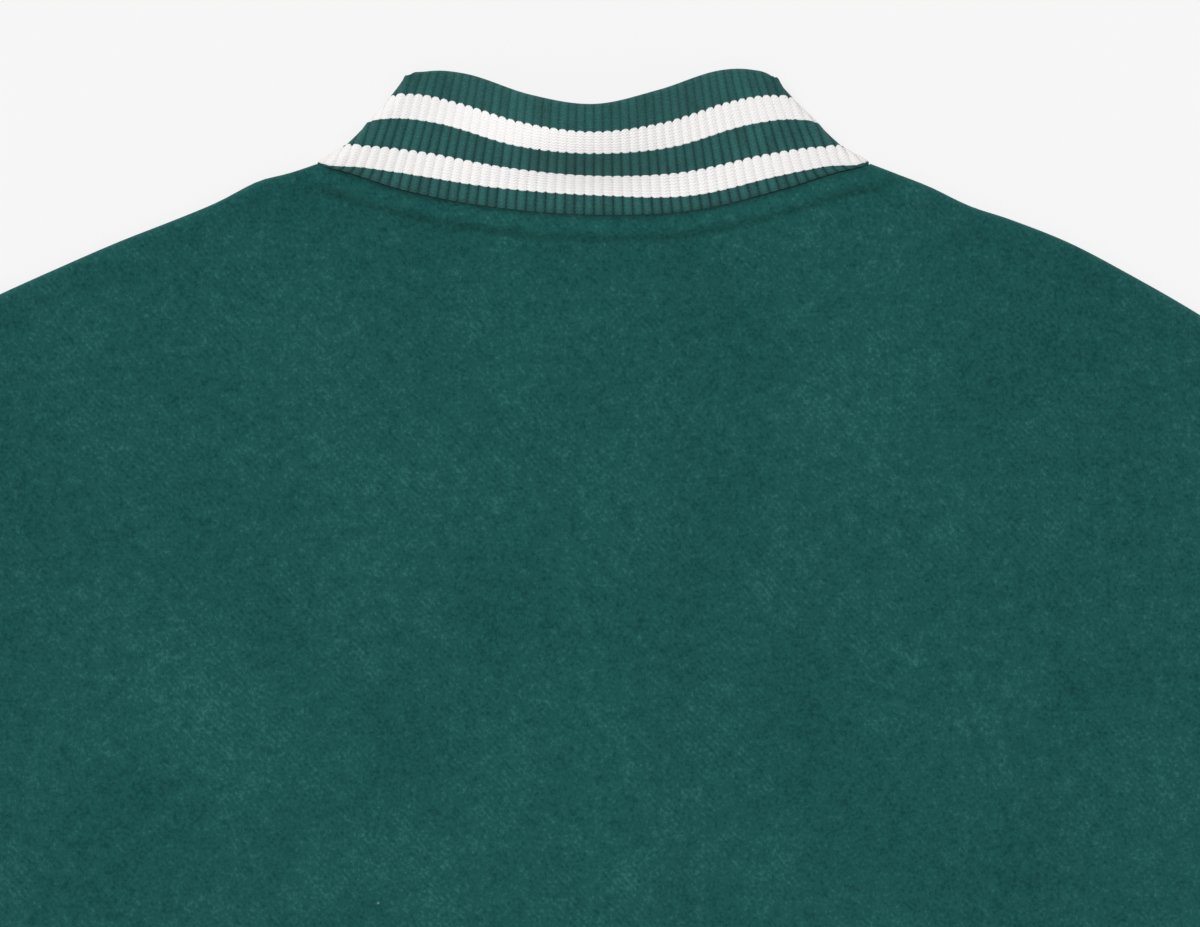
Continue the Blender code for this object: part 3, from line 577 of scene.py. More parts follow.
WOOL_DARK, WOOL_BASE, WOOL_LIGHT = (0.0022, 0.046, 0.043), (0.0082, 0.077, 0.071), (0.026, 0.126, 0.115)


def wool_material():
    """Brushed, felted wool twill: uneven green fibre, faint diagonal lines, a soft nap, a little lint."""
    mat, nodes, links, shader = tree_of("green_wool_twill")
    g = Graph(nodes, links)
    pos, u, v = coordinates(g)
    fibre = g.noise(pos, 0.62, 5.0, 0.72, 0.2)
    strands = g.noise(g.scaled(pos, (1.4, 0.7, 1.0)), 0.9, 4.0, 0.7, 1.0)
    mottle = g.noise(pos, 0.19, 3.0, 0.55)
    broad = g.noise(pos, 0.014, 2.0, 0.5)
    patch = g.noise(pos, 0.03, 2.0, 0.5)
    # twill lines run down to the right of the piece
    across = g.math("MULTIPLY", g.math("ADD", g.math("MULTIPLY", u, 1.06), v), 1 / (1.457 * TWILL))
    across = g.math("ADD", across, g.math("MULTIPLY", g.noise(pos, 0.35, 2.0, 0.5), 0.9))
    line = g.math("MULTIPLY_ADD", g.math("SINE", g.math("MULTIPLY", across, 2 * math.pi)), 0.5, 0.5)
    shown = g.span(patch, 0.38, 0.66, 0.25, 1.0)
    line = g.math("MULTIPLY", line, shown)
    tone = g.math("ADD", g.math("MULTIPLY", fibre, 0.62), g.math("MULTIPLY", strands, 0.38))
    tone = g.math("ADD", tone, g.math("MULTIPLY", g.math("SUBTRACT", mottle, 0.5), 0.28))
    tone = g.math("ADD", tone, g.math("MULTIPLY", g.math("SUBTRACT", broad, 0.5), 0.16))
    tone = g.math("ADD", tone, g.math("MULTIPLY", line, 0.050))
    tone = g.span(tone, 0.28, 0.78)
    colour = g.mix(g.span(tone, 0.0, 0.5), WOOL_DARK, WOOL_BASE)
    colour = g.mix(g.span(tone, 0.5, 1.0), colour, WOOL_LIGHT)
    # a few specks of pale lint
    cells = nodes.new("ShaderNodeTexVoronoi")
    cells.feature = "F1"
    cells.inputs["Scale"].default_value = 1 / 42.0
    cells.inputs["Randomness"].default_value = 1.0
    wobble = g.noise(pos, 1.6, 1.0, 0.5)
    flat = g.vector(u, v, 0.0)
    links.new(flat, cells.inputs["Vector"])
    near = g.math("ADD", cells.outputs["Distance"], g.math("MULTIPLY", g.math("SUBTRACT", wobble, 0.5), 0.012))
    speck = g.span(near, 0.016, 0.009)
    pick = nodes.new("ShaderNodeSeparateColor")
    links.new(cells.outputs["Color"], pick.inputs[0])
    speck = g.math("MULTIPLY", speck, g.span(pick.outputs[0], 0.55, 0.75))
    colour = g.mix(g.math("MULTIPLY", speck, 0.35), colour, (0.30, 0.42, 0.38))
    # painted shade and painted highlight, told by the piece: darker along seams, topstitches and crease troughs,
    # lighter on crests, puffs and folded edges
    wear_and_painted_light = nodes.new("ShaderNodeAttribute")
    wear_and_painted_light.attribute_name = "tone"
    colour = g.mix(1.0, colour, g.vector(*[g.math("ADD", wear_and_painted_light.outputs["Fac"], 1.0)] * 3), "MULTIPLY")
    links.new(colour, shader.inputs["Base Color"])
    shader.inputs["Roughness"].default_value = 0.95
    shader.inputs["Specular IOR Level"].default_value = 0.15
    shader.inputs["Sheen Weight"].default_value = 0.10
    shader.inputs["Sheen Roughness"].default_value = 0.45
    shader.inputs["Sheen Tint"].default_value = (0.55, 0.85, 0.80, 1)
    height = g.math("ADD", g.math("MULTIPLY", fibre, 0.7), g.math("MULTIPLY", strands, 0.5))
    height = g.math("ADD", height, g.math("MULTIPLY", line, 0.28))
    links.new(g.bump(height, 0.55, 0.0006), shader.inputs["Normal"])
    return mat


# rib colours: plain green, a painted shade for its grooves and a painted highlight for its crests; off-white and a
# painted shade for its grooves
RIB_GREEN, RIB_GROOVE_SHADE, RIB_CREST_HIGHLIGHT = (0.0165, 0.087, 0.0815), (0.0045, 0.041, 0.039), (0.0228, 0.107, 0.101)
RIB_WHITE, WHITE_GROOVE_SHADE = (0.865, 0.847, 0.838), (0.76, 0.735, 0.725)


def rib_material(name, edges, tall, folds=None):
    """Rib knit with off-white stripes.  u counts ribs, v is mm from the seam; edges are the stripes' edges in v.
    folds are the ribs from the middle to the side fold at the seam and at the top: stripes bend down there."""
    mat, nodes, links, shader = tree_of(name)
    g = Graph(nodes, links)
    pos, u, v = coordinates(g)
    part = g.math("FRACT", u)
    off = g.math("ABSOLUTE", g.math("MULTIPLY_ADD", part, 2.0, -1.0))      # 0 on a rib's crest, 1 in the groove
    own = nodes.new("ShaderNodeTexWhiteNoise")
    own.noise_dimensions = "1D"
    links.new(g.math("FLOOR", u), own.inputs["W"])
    yarn = g.noise(pos, 1.3, 3.0, 0.6)
    patch = g.noise(pos, 0.12, 2.0, 0.5)
    wander = g.math("MULTIPLY", g.math("SUBTRACT", yarn, 0.5), 0.7)
    at = g.math("ADD", v, wander)
    if folds:
        past = g.math("SUBTRACT", g.math("ABSOLUTE", g.math("SUBTRACT", u, 200.0)), g.span(v, 0.0, tall, *folds))
        bend = g.math("POWER", g.span(g.math("ABSOLUTE", past), 0.0, 2.7, 1.0, 0.0), 2.0)
        at = g.math("MULTIPLY_ADD", bend, 2.5, at)
        # the lowest band runs out there, under the wool's shoulder
        bend = g.math("MULTIPLY", g.span(g.math("ABSOLUTE", past), 0.0, 4.6, 1.0, 0.0), g.span(v, 7.0, 13.0, 1.0, 0.0))
        at = g.math("MULTIPLY_ADD", bend, 2.6, at)
    # the upper edge of a white stripe steps up on every rib, the lower one hardly
    scallop = g.math("MULTIPLY_ADD", g.math("POWER", off, 2.6), -1.05, 0.45)
    lower = g.math("MULTIPLY_ADD", g.math("POWER", off, 3.0), 0.30, -0.10)
    white = None
    for low, high in edges:
        inside = g.math("MULTIPLY",
                        g.span(g.math("SUBTRACT", at, lower), low - 0.18, low + 0.18),
                        g.span(g.math("SUBTRACT", at, scallop), high + 0.18, high - 0.18))
        white = inside if white is None else g.math("MAXIMUM", white, inside)
    # painted shade in the grooves between ribs and painted highlight on their crests; the grooves open out towards the
    # top edge, and stitches cross them
    open_ = g.span(v, 5.0, tall, 1.0, 0.55)
    cross = g.math("MULTIPLY_ADD", g.math("SINE", g.math("MULTIPLY", v, 2 * math.pi / 1.45)), 0.20, 0.80)
    deep = g.math("MULTIPLY", g.math("MULTIPLY", g.span(off, 0.62, 0.98), open_), cross)
    crest = g.math("MULTIPLY", g.span(off, 0.75, 0.1), open_)
    green = g.mix(crest, RIB_GREEN, RIB_CREST_HIGHLIGHT)
    green = g.mix(deep, green, RIB_GROOVE_SHADE)
    shade = g.math("ADD", g.math("MULTIPLY", g.math("SUBTRACT", yarn, 0.5), 1.15),
                   g.math("MULTIPLY", g.math("SUBTRACT", patch, 0.5), 0.5))
    shade = g.math("ADD", shade, g.math("MULTIPLY", g.math("SUBTRACT", own.outputs[0], 0.5), 0.22))
    green = g.mix(1.0, green, g.vector(*[g.math("ADD", shade, 1.0)] * 3), "MULTIPLY")
    # painted shade in the grooves of the off-white stripes too
    pale = g.mix(g.math("MULTIPLY", deep, 0.55), RIB_WHITE, WHITE_GROOVE_SHADE)
    pale = g.mix(1.0, pale, g.vector(*[g.math("MULTIPLY_ADD", g.math("SUBTRACT", yarn, 0.5), 0.06, 1.0)] * 3), "MULTIPLY")
    # painted highlight: the off-white stripes are paler near the collar's centre back, against the shade of its rise
    # there
    if folds:
        painted_highlight = g.span(g.math("ABSOLUTE", g.math("SUBTRACT", u, 200.0)), 6.0, 25.0, 1.085, 1.0)
        pale = g.mix(1.0, pale, g.vector(painted_highlight, painted_highlight, painted_highlight), "MULTIPLY")
    links.new(g.mix(white, green, pale), shader.inputs["Base Color"])
    shader.inputs["Roughness"].default_value = 0.9
    shader.inputs["Specular IOR Level"].default_value = 0.2
    shader.inputs["Sheen Weight"].default_value = 0.12
    shader.inputs["Sheen Roughness"].default_value = 0.5
    # the two knit wales on each rib, with their V stitches
    wale = g.math("ABSOLUTE", g.math("SUBTRACT", g.math("FRACT", g.math("MULTIPLY", u, 2.0)), 0.5))
    rows = g.math("MULTIPLY_ADD", wale, 1.1, g.math("MULTIPLY", v, 0.85))
    stitch = g.math("MULTIPLY_ADD", g.math("SINE", g.math("MULTIPLY", rows, 2 * math.pi)), 0.5, 0.5)
    height = g.math("ADD", g.math("MULTIPLY", stitch, 0.6), g.math("MULTIPLY", yarn, 0.7))
    height = g.math("ADD", height, g.math("MULTIPLY", wale, 0.6))
    links.new(g.bump(height, 0.6, 0.0005), shader.inputs["Normal"])
    return mat


def thread_material():
    mat, nodes, links, shader = tree_of("green_thread")
    g = Graph(nodes, links)
    pos, u, v = coordinates(g)
    ply = g.noise(pos, 3.0, 2.0, 0.5)
    links.new(g.mix(ply, (0.0035, 0.036, 0.034), (0.009, 0.062, 0.058)), shader.inputs["Base Color"])
    shader.inputs["Roughness"].default_value = 0.85
    shader.inputs["Specular IOR Level"].default_value = 0.15
    links.new(g.bump(ply, 0.3, 0.0002), shader.inputs["Normal"])
    return mat


def cap_material():
    """Off-white enamel over a pressed metal cap."""
    mat, nodes, links, shader = tree_of("enamelled_cap")
    g = Graph(nodes, links)
    pos, u, v = coordinates(g)
    # uneven wear of the enamel
    wear_and_painted_light = g.noise(pos, 0.6, 3.0, 0.6)
    links.new(g.mix(wear_and_painted_light, (0.74, 0.73, 0.70), (0.84, 0.83, 0.80)), shader.inputs["Base Color"])
    shader.inputs["Roughness"].default_value = 0.3
    shader.inputs["Coat Weight"].default_value = 0.5
    shader.inputs["Coat Roughness"].default_value = 0.12
    links.new(g.bump(wear_and_painted_light, 0.08, 0.0002), shader.inputs["Normal"])
    return mat


# ================================================================ the wool pieces
def seam_dip(p, *seams):
    """How far a panel's edge is drawn down at its seams."""
    z = 0.0
    for seam, deep, wide in seams:
        d, _ = seam.near(p)
        z = z - deep * np.exp(-(d / wide) ** 2)
    return z


def neck_band(d):
    """The turned edge by the neck seam: drawn in at the seam, puffed, then pressed in along the topstitch."""
    z = -1.15 * np.exp(-(d / 1.3) ** 2)
    z = z + 0.85 * np.exp(-((d - 5.0) / 2.8) ** 2)
    z = z - 1.05 * np.exp(-((d - STITCH_AT) / 1.5) ** 2)
    return z + 0.25 * np.exp(-((d - 13.5) / 3.0) ** 2)


def panel_uv(points, angle=0.0, origin=(0.0, 0.0)):
    """The piece's own grain: plan mm over 100, turned so that v runs along the piece."""
    a = math.radians(angle)
    x, y = points[..., 0] - origin[0], points[..., 1] - origin[1]
    return np.stack([x * math.cos(a) + y * math.sin(a), y * math.cos(a) - x * math.sin(a)], axis=-1) / 100.0


def faces_of(m, n, thick, sink=0.0):
    up = np.stack([np.zeros_like(m[..., 2]), np.zeros_like(m[..., 2]), np.broadcast_to(sink, m[..., 2].shape)], axis=-1)
    return m + n * thick / 2 + up, m - n * thick / 2 + up * 0.35


def side_line(side, gap_side, gap_arm, fine_top=False, beyond=0.0):
    path, arm = SIDE_PATH[side], ARMHOLE_PATH[side]
    # the left side's stations, so that both sides have the same rows
    same = ARMHOLE_PATH[-1].length
    low = path.at(spread(path.length, gap_side)[:-1])
    rows = spread(same, gap_arm)
    if fine_top:
        rows = np.concatenate([rows[rows < same - 19.5], same - np.array(NECK_ROWS)[::-1]])
    high = moved(arm.at(rows / same * arm.length), side * SEAM / 2)
    fade = step((np.minimum(rows, same - rows) - 4) / 12)[:, None]
    high = high + fade * (moved(high, -side * beyond) - high)
    high[0] = path.at(path.length - SEAM / 2)
    high[-1] = SHOULDER_PATH[side].at(SHOULDER_PATH[side].length - SEAM / 2)
    return np.concatenate([low, high])


def make_back(mat):
    left, right = side_line(-1, 3.9, 3.4, True), side_line(1, 3.9, 3.4, True)
    d = spread(220.0, 2.7)
    f = d / 110.0 - 1
    neck = moved(collar_back(f, 0.0), -GAP / 2)
    neck[0], neck[-1] = SHOULDER_PATH[-1].at(GAP / 2), SHOULDER_PATH[1].at(GAP / 2)
    shoulder = {s: SHOULDER_PATH[s].at(spread(SHOULDER_PATH[s].length, 4.4, first=False)[1:]) for s in (-1, 1)}
    top = np.concatenate([shoulder[-1][::-1], neck, shoulder[1]])
    top[0], top[-1] = left[-1], right[-1]
    low = BODY_HEM_Y + SEAM / 2
    # the lower edge keeps the columns' places, with lines close to each side seam
    t = (top[:, 0] - top[0, 0]) / (top[-1, 0] - top[0, 0])
    bx = -BODY_HEM_HALF + 2 * BODY_HEM_HALF * t
    bottom = np.stack([bx, np.full(len(bx), low)], axis=1)
    left[0], right[0] = bottom[0], bottom[-1]
    us, vs = t, shares(left)
    grid = coons(bottom, top, left, right, us, vs)
    m, n = layer(grid, 1, WOOL_EDGE, MID, FOLD, laid)
    d_neck, _ = NECK_SEAM.near(grid)
    sink = neck_band(d_neck)
    for s in (-1, 1):
        sink = sink + seam_dip(grid, (ARMHOLE_SEAM[s], 0.9, 1.5), (ARMHOLE_SEAM[s], 1.0, 9.0))
    sink = sink + seam_dip(grid, (SIDE_SEAM, 0.3, 1.6))
    hem = np.abs(grid[..., 1] - BODY_HEM_Y)
    sink = sink - 0.8 * np.exp(-(hem / 2.0) ** 2) + 0.9 * np.exp(-((hem - 9.0) / 7.0) ** 2)
    edge_d, _ = WOOL_EDGE.near(grid)
    sink = sink * step(edge_d / 6.0)
    outer, inner = faces_of(m, n, WOOL, sink)
    # the turned edge reaches in under the collar at its lower face
    _, way = NECK_SEAM.near(grid)
    under = 0.55 * np.exp(-(d_neck / 0.5) ** 2) * (np.abs(grid[..., 0]) < 108) * (grid[..., 1] > -30)
    inner[..., :2] -= way * under[..., None]
    # painted shade along the neck seam, weaker towards its ends, and along the topstitch; a painted highlight on the
    # puffed band between them
    tone = -0.30 * np.exp(-(d_neck / 1.3) ** 2) * (1 - 0.8 * step((np.abs(grid[..., 0]) - 78) / 24))
    tone = tone - 0.20 * np.exp(-((d_neck - STITCH_AT) / 1.2) ** 2)
    tone = tone + 0.07 * np.exp(-((d_neck - 5.0) / 2.4) ** 2)
    # broad patches of painted highlight and painted shade
    for x, y, rx, ry, much in PAINTED_LIGHT_PATCHES:
        tone = tone + much * np.exp(-((grid[..., 0] - x) / rx) ** 2 - ((grid[..., 1] - y) / ry) ** 2)
    # painted shade beside the shoulder seams and a painted highlight along the folded edges
    shoulder_d, _ = SHOULDER_SEAM.near(grid)
    tone = tone - 0.07 * np.exp(-((shoulder_d - 9.0) / 7.0) ** 2) + 0.16 * np.exp(-(edge_d / 1.2) ** 2)
    # painted highlight on the creases' crests and painted shade in their troughs, low on the back
    tone = tone + 0.040 * (laid(grid[..., 0], grid[..., 1]) - 0.6) * step((-grid[..., 1] - 330) / 80)
    return cloth("back_panel", outer, inner, mat, panel_uv(grid), tone=tone), sheet_size(grid)


def sheet_size(grid):
    """(width, length, area) of a flat piece, in metres, with 10 mm turned in at each seam."""
    p = grid.reshape(-1, 2)
    wide, long = np.ptp(p[:, 0]) + 20, np.ptp(p[:, 1]) + 20
    a, b = grid[1:, 1:] - grid[:-1, :-1], grid[1:, :-1] - grid[:-1, 1:]
    area = np.abs(a[..., 0] * b[..., 1] - a[..., 1] * b[..., 0]).sum() / 2
    return wide * MM, long * MM, area * 1e-6


def make_front(side, name, mat):
    lift = left_lift if side < 0 else right_lift
    edge_x = -side * LAP
    seam = side_line(side, 6.0, 5.4, beyond=OFFSET)
    path = FRONT_NECK_PATH[side]
    neck = moved(path.at(spread(path.length, 4.5)), side * GAP / 2)
    neck[0] = SHOULDER_PATH[side].at(GAP / 2)
    neck[-1] = (side * COLLAR_END, NECK_FRONT_Y - GAP / 2)
    beyond = np.array([(edge_x * k / 5 + side * COLLAR_END * (1 - k / 5), NECK_FRONT_Y - GAP / 2) for k in range(1, 6)])
    shoulder = SHOULDER_PATH[side].at(spread(SHOULDER_PATH[side].length, 5.5, first=False)[1:])[::-1]
    top = np.concatenate([shoulder, neck, beyond])
    top[0] = seam[-1]
    low = BODY_HEM_Y + GAP / 2
    t = (top[:, 0] - top[0, 0]) / (top[-1, 0] - top[0, 0])
    bx = side * BODY_HEM_HALF + (edge_x - side * BODY_HEM_HALF) * t
    # columns next to the tab that passes the hem band
    near = int(np.argmin(abs(side * bx - TAB)))
    bx[near] = side * TAB
    bottom = np.stack([bx, low - OFFSET * step((BODY_HEM_HALF - 8 - abs(bx)) / 10)
                       * step((abs(bx) - TAB) / 6)], axis=1)
    seam[0] = bottom[0]
    vs = shares(seam)
    edge_line = np.stack([np.full(len(vs), edge_x), low + (top[-1][1] - low) * vs], axis=1)
    grid = coons(bottom, top, seam, edge_line, t, vs)
    tab = np.stack([np.stack([bx, np.full(len(bx), y)], axis=1) for y in np.linspace(HEM_Y, low, 12)[:-1]])
    grid = np.concatenate([tab, grid])
    m, n = layer(grid, -1, WOOL_EDGE, MID, FOLD, lift)
    # the turned front edge, a row of topstitch pressed in beside it, and shallow creases
    edge_d = np.abs(grid[..., 0] - edge_x)
    neck_d, _ = Edge([(path.points, 1)]).near(grid)
    fold_d, _ = WOOL_EDGE.near(grid)
    press = 0.5 * np.exp(-((edge_d - 6.0) / 1.2) ** 2) + 0.5 * np.exp(-(edge_d / 1.0) ** 2)
    press = press + 0.7 * np.exp(-(neck_d / 1.4) ** 2) + 0.6 * np.exp(-((neck_d - STITCH_AT) / 1.2) ** 2)
    press = press + seam_dip(grid, (ARMHOLE_SEAM[side], -0.6, 1.6))
    x, y = grid[..., 0] * side, grid[..., 1]
    plain = press + 0
    for row in ((250, -310, 130, -390, 10, 0.9), (90, -160, 120, -330, 14, 0.7), (235, -430, 205, -590, 12, 0.9),
                (110, -480, 140, -600, 10, 0.7), (200, -60, 150, -180, 12, 0.6)):
        press = press + trough(x, y, row)
    arm_d, _ = ARMHOLE_SEAM[side].near(grid)
    # painted shade along the armhole and neck seams, beside the edge topstitch and along the creases
    tone = -0.28 * np.exp(-(arm_d / 1.5) ** 2) - 0.22 * np.exp(-(neck_d / 1.3) ** 2)
    tone = tone - 0.12 * np.exp(-((edge_d - 6.0) / 1.0) ** 2) - 0.10 * (press - plain)
    press = press * step(fold_d / 6.0) * step((grid[..., 1] - BODY_HEM_Y + 20) / 20)
    up = np.stack([np.zeros_like(press), np.zeros_like(press), press], axis=-1)
    outer = m + n * WOOL / 2 + up
    inner = m - n * WOOL / 2 + up * 0.4
    first = 11
    obj = cloth(name, outer, inner, mat, panel_uv(grid),
                cells=lambda j, i: (j >= first) | (i >= near), tone=tone)
    return obj, sheet_size(grid[first:])


def cuff_centre(side):
    return (SLEEVE_TOP_PATH[side].points[-1] + SLEEVE_UNDER_PATH[side].points[-1]) / 2


def make_sleeve(side, name, mat):
    arm, under, over = ARMHOLE_PATH[side], SLEEVE_UNDER_PATH[side], SLEEVE_TOP_PATH[side]
    first = moved(arm.at(spread(arm.length, 4.2)), -side * SEAM / 2)
    first[0], first[-1] = under.at(SEAM / 2), over.at(SEAM / 2)
    along = np.array(CUFF_AXIS) * (side, 1)
    half = np.linalg.norm(over.points[-1] - under.points[-1]) / 2
    offs = spread(2 * half, 2 * half / 30)
    t = shares(first)
    offs = np.interp(np.arange(len(t)), np.linspace(0, len(t) - 1, len(offs)), offs) - half
    offs[:len(CLOSE)] = np.array(CLOSE) - half
    offs[-len(CLOSE):] = half - np.array(CLOSE)[::-1]
    offs[len(CLOSE) - 1:len(t) - len(CLOSE) + 1] = np.linspace(offs[len(CLOSE) - 1], offs[-len(CLOSE)], len(t) - 2 * len(CLOSE) + 2)
    across = np.array((-CUFF_AXIS[1], CUFF_AXIS[0])) * (side, 1)
    last = offs[:, None] * across + cuff_centre(side) - along * GAP / 2
    down = spread(1.0, 1 / 110, first=False, last=False)
    ends = np.array(CLOSE) / over.length
    down = np.unique(np.round(np.concatenate([ends, down[2:-2], 1 - ends]), 6))
    left = under.at(GAP / 2 + (under.length - GAP / 2) * down)
    right = over.at(GAP / 2 + (over.length - GAP / 2) * down)
    left[-1], right[-1] = last[0], last[-1]
    us = (t + shares(last)) / 2
    grid = coons(first, last, left, right, us, down)
    rows, n = grid.shape[:2]

    U = np.broadcast_to(us[None, :], (rows, n))
    V = np.broadcast_to(down[:, None], (rows, n))
    soft = uneven(grid[..., 0] * 0.9 + 400, grid[..., 1]) * 0.8
    long = over.length
    for a0, c0, a1, c1, wide, high in SLEEVE_CREASES[side]:
        soft = soft + trough(V * long, U * 170.0, (a0 * long, c0 * 170.0, a1 * long, c1 * 170.0, wide, high))
    cuff_d = (1 - V) * long
    soft = soft * step(V * long / 14) + 0.9 * np.exp(-((V * long - 7) / 5) ** 2)
    # gathered a little where the cuff takes it in
    soft = soft + 1.3 * np.exp(-((cuff_d - 4) / 20.0) ** 2) * np.sin(U * 2 * math.pi * 7.3 + 1.1 * np.sin(U * 9)) \
        + 1.0 * np.exp(-((cuff_d - 14) / 13) ** 2)
    soft = soft - 1.0 * np.exp(-(cuff_d / 1.8) ** 2) - 0.9 * np.exp(-(V * long / 1.8) ** 2)
    d, _ = WOOL_EDGE.near(grid)
    up, un = layer(grid, 1, WOOL_EDGE, MID, FOLD, none)
    soft = soft * step(d / 14.0)
    gv, gu = np.gradient(soft)
    mv, mu = np.gradient(grid, axis=0), np.gradient(grid, axis=1)
    det = mu[..., 0] * mv[..., 1] - mu[..., 1] * mv[..., 0]
    gx = (gu * mv[..., 1] - gv * mu[..., 1]) / det
    gy = (gv * mu[..., 0] - gu * mv[..., 0]) / det
    # the cut end at the cuff stands upright, clear of the rib
    gx, gy = gx * step(cuff_d / 2.4), gy * step(cuff_d / 2.4)
    un = un + np.stack([-gx, -gy, np.zeros_like(gx)], axis=-1)
    un = un / np.linalg.norm(un, axis=-1)[..., None]
    up[..., 2] += soft
    lo, ln = layer(grid, -1, WOOL_EDGE, MID, FOLD, none)
    rest = step(d / 14.0) * np.clip(-soft, 0, 2) * 0.4
    lo[..., 2] += rest
    # the lower layer's seam lies further out
    inward = np.gradient(grid[0], axis=0)
    inward = np.stack([inward[:, 1], -inward[:, 0]], axis=1) / np.linalg.norm(inward, axis=1)[:, None] * side
    ends = spread(arm.length, 4.2)
    fade = step((np.minimum(ends, arm.length - ends) - 4) / 12)
    lo[..., :2] += OFFSET * inward[None] * fade[None, :, None] * np.exp(-(V * long / 7.0) ** 2)[..., None]
    for k in (0, n - 1):
        up[:, k, 2] = MID
        un[:, k, 2] = 0
        un[:, k] = un[:, k] / np.linalg.norm(un[:, k], axis=-1)[:, None]
    m = np.concatenate([up, lo[:, n - 2:0:-1]], axis=1)
    nn = np.concatenate([un, ln[:, n - 2:0:-1]], axis=1)
    angle = -46.0 * side
    uv = panel_uv(grid, angle, first[0])
    uv = np.concatenate([uv, uv[:, n - 2:0:-1], uv[:, :1]], axis=1)
    # painted shade at the armhole seam, and painted highlight and painted shade following the creases' height
    painted_seam_shade = -0.22 * np.exp(-(V * long / 1.5) ** 2)
    tone = np.concatenate([painted_seam_shade + 0.035 * (soft - 0.6), painted_seam_shade[:, n - 2:0:-1]], axis=1)
    obj = cloth(name, m + nn * WOOL / 2, m - nn * WOOL / 2, mat, uv, closed=True, tone=tone)
    wide, long_, area = sheet_size(grid)
    return obj, area


# ================================================================ the rib pieces
def rib_profile(phase):
    """Height over the groove's bottom, 0 to 1: broad crests, narrow grooves."""
    off = np.abs(2 * (phase - np.floor(phase)) - 1)
    return 1 - off ** 3.2


def edge_round(distance, radius=RIB / 2):
    """Share of the wall that is left at a distance from a folded edge."""
    t = np.clip(1 - distance / radius, 0, 1)
    return np.sqrt(1 - t * t)


def rib_walls(m, n, phase, share, deep=RIB_DEEP):
    out = (RIB / 2 - deep * (1 - rib_profile(phase))) * share
    return m + n * out[..., None], m - n * out[..., None]


def normals_of(m):
    a, b = np.gradient(m, axis=1), np.gradient(m, axis=0)
    n = np.cross(a, b)
    return n / np.linalg.norm(n, axis=-1)[..., None]


TURN = RIB_FOLD + RIB / 2       # outer radius of a rib fold


def arc_to_plan(a):
    """Distance in plan from a fold, for a distance along the cloth from it."""
    return np.where(a < TURN * math.pi / 2, TURN * (1 - np.cos(np.clip(a / TURN, 0, math.pi / 2))),
                    a - TURN * (math.pi / 2 - 1))


# what the collar's stand gains on the plan: share of the height, up in the middle and by the folds, and
# out at the left and at the right fold
COLLAR_GAIN = ((0.0, 0.0, 0.0, -0.4, -0.45), (0.13, 1.0, 0.1, 0.1, -0.7), (0.33, 0.6, -0.4, 0.1, -0.2),
               (0.56, 0.6, 0.1, 0.2, -0.8), (0.79, 0.0, 0.3, 0.5, -1.3), (1.0, -0.4, 1.1, 0.7, -1.5))


def collar_gain(share, up, beyond):
    """How far the collar's cloth lies from the frame's plan.  beyond is the distance past a side fold."""
    ups = [r[0] for r in COLLAR_GAIN]
    mid, end, left, right = (hermite(ups, [r[k] for r in COLLAR_GAIN], up) for k in (1, 2, 3, 4))
    by = step(np.abs(share * collar_half(up)) / 58.0)
    y = mid * (1 - by) + end * by
    y = y + np.where(share > 0, 1.1 * np.exp(-((beyond + 4.3) / 4.6) ** 2), 1.5 * np.exp(-((beyond + 4.3) / 3.2) ** 2)) * up ** 4
    y = y - np.where(share > 0, 2.4, 1.1) * np.exp(-(beyond / np.where(beyond > 0, 9.0, 2.1)) ** 2) * up ** 6
    x = np.where(share < 0, -left, right) * np.abs(share) ** 3
    return np.stack([x, y], axis=-1)


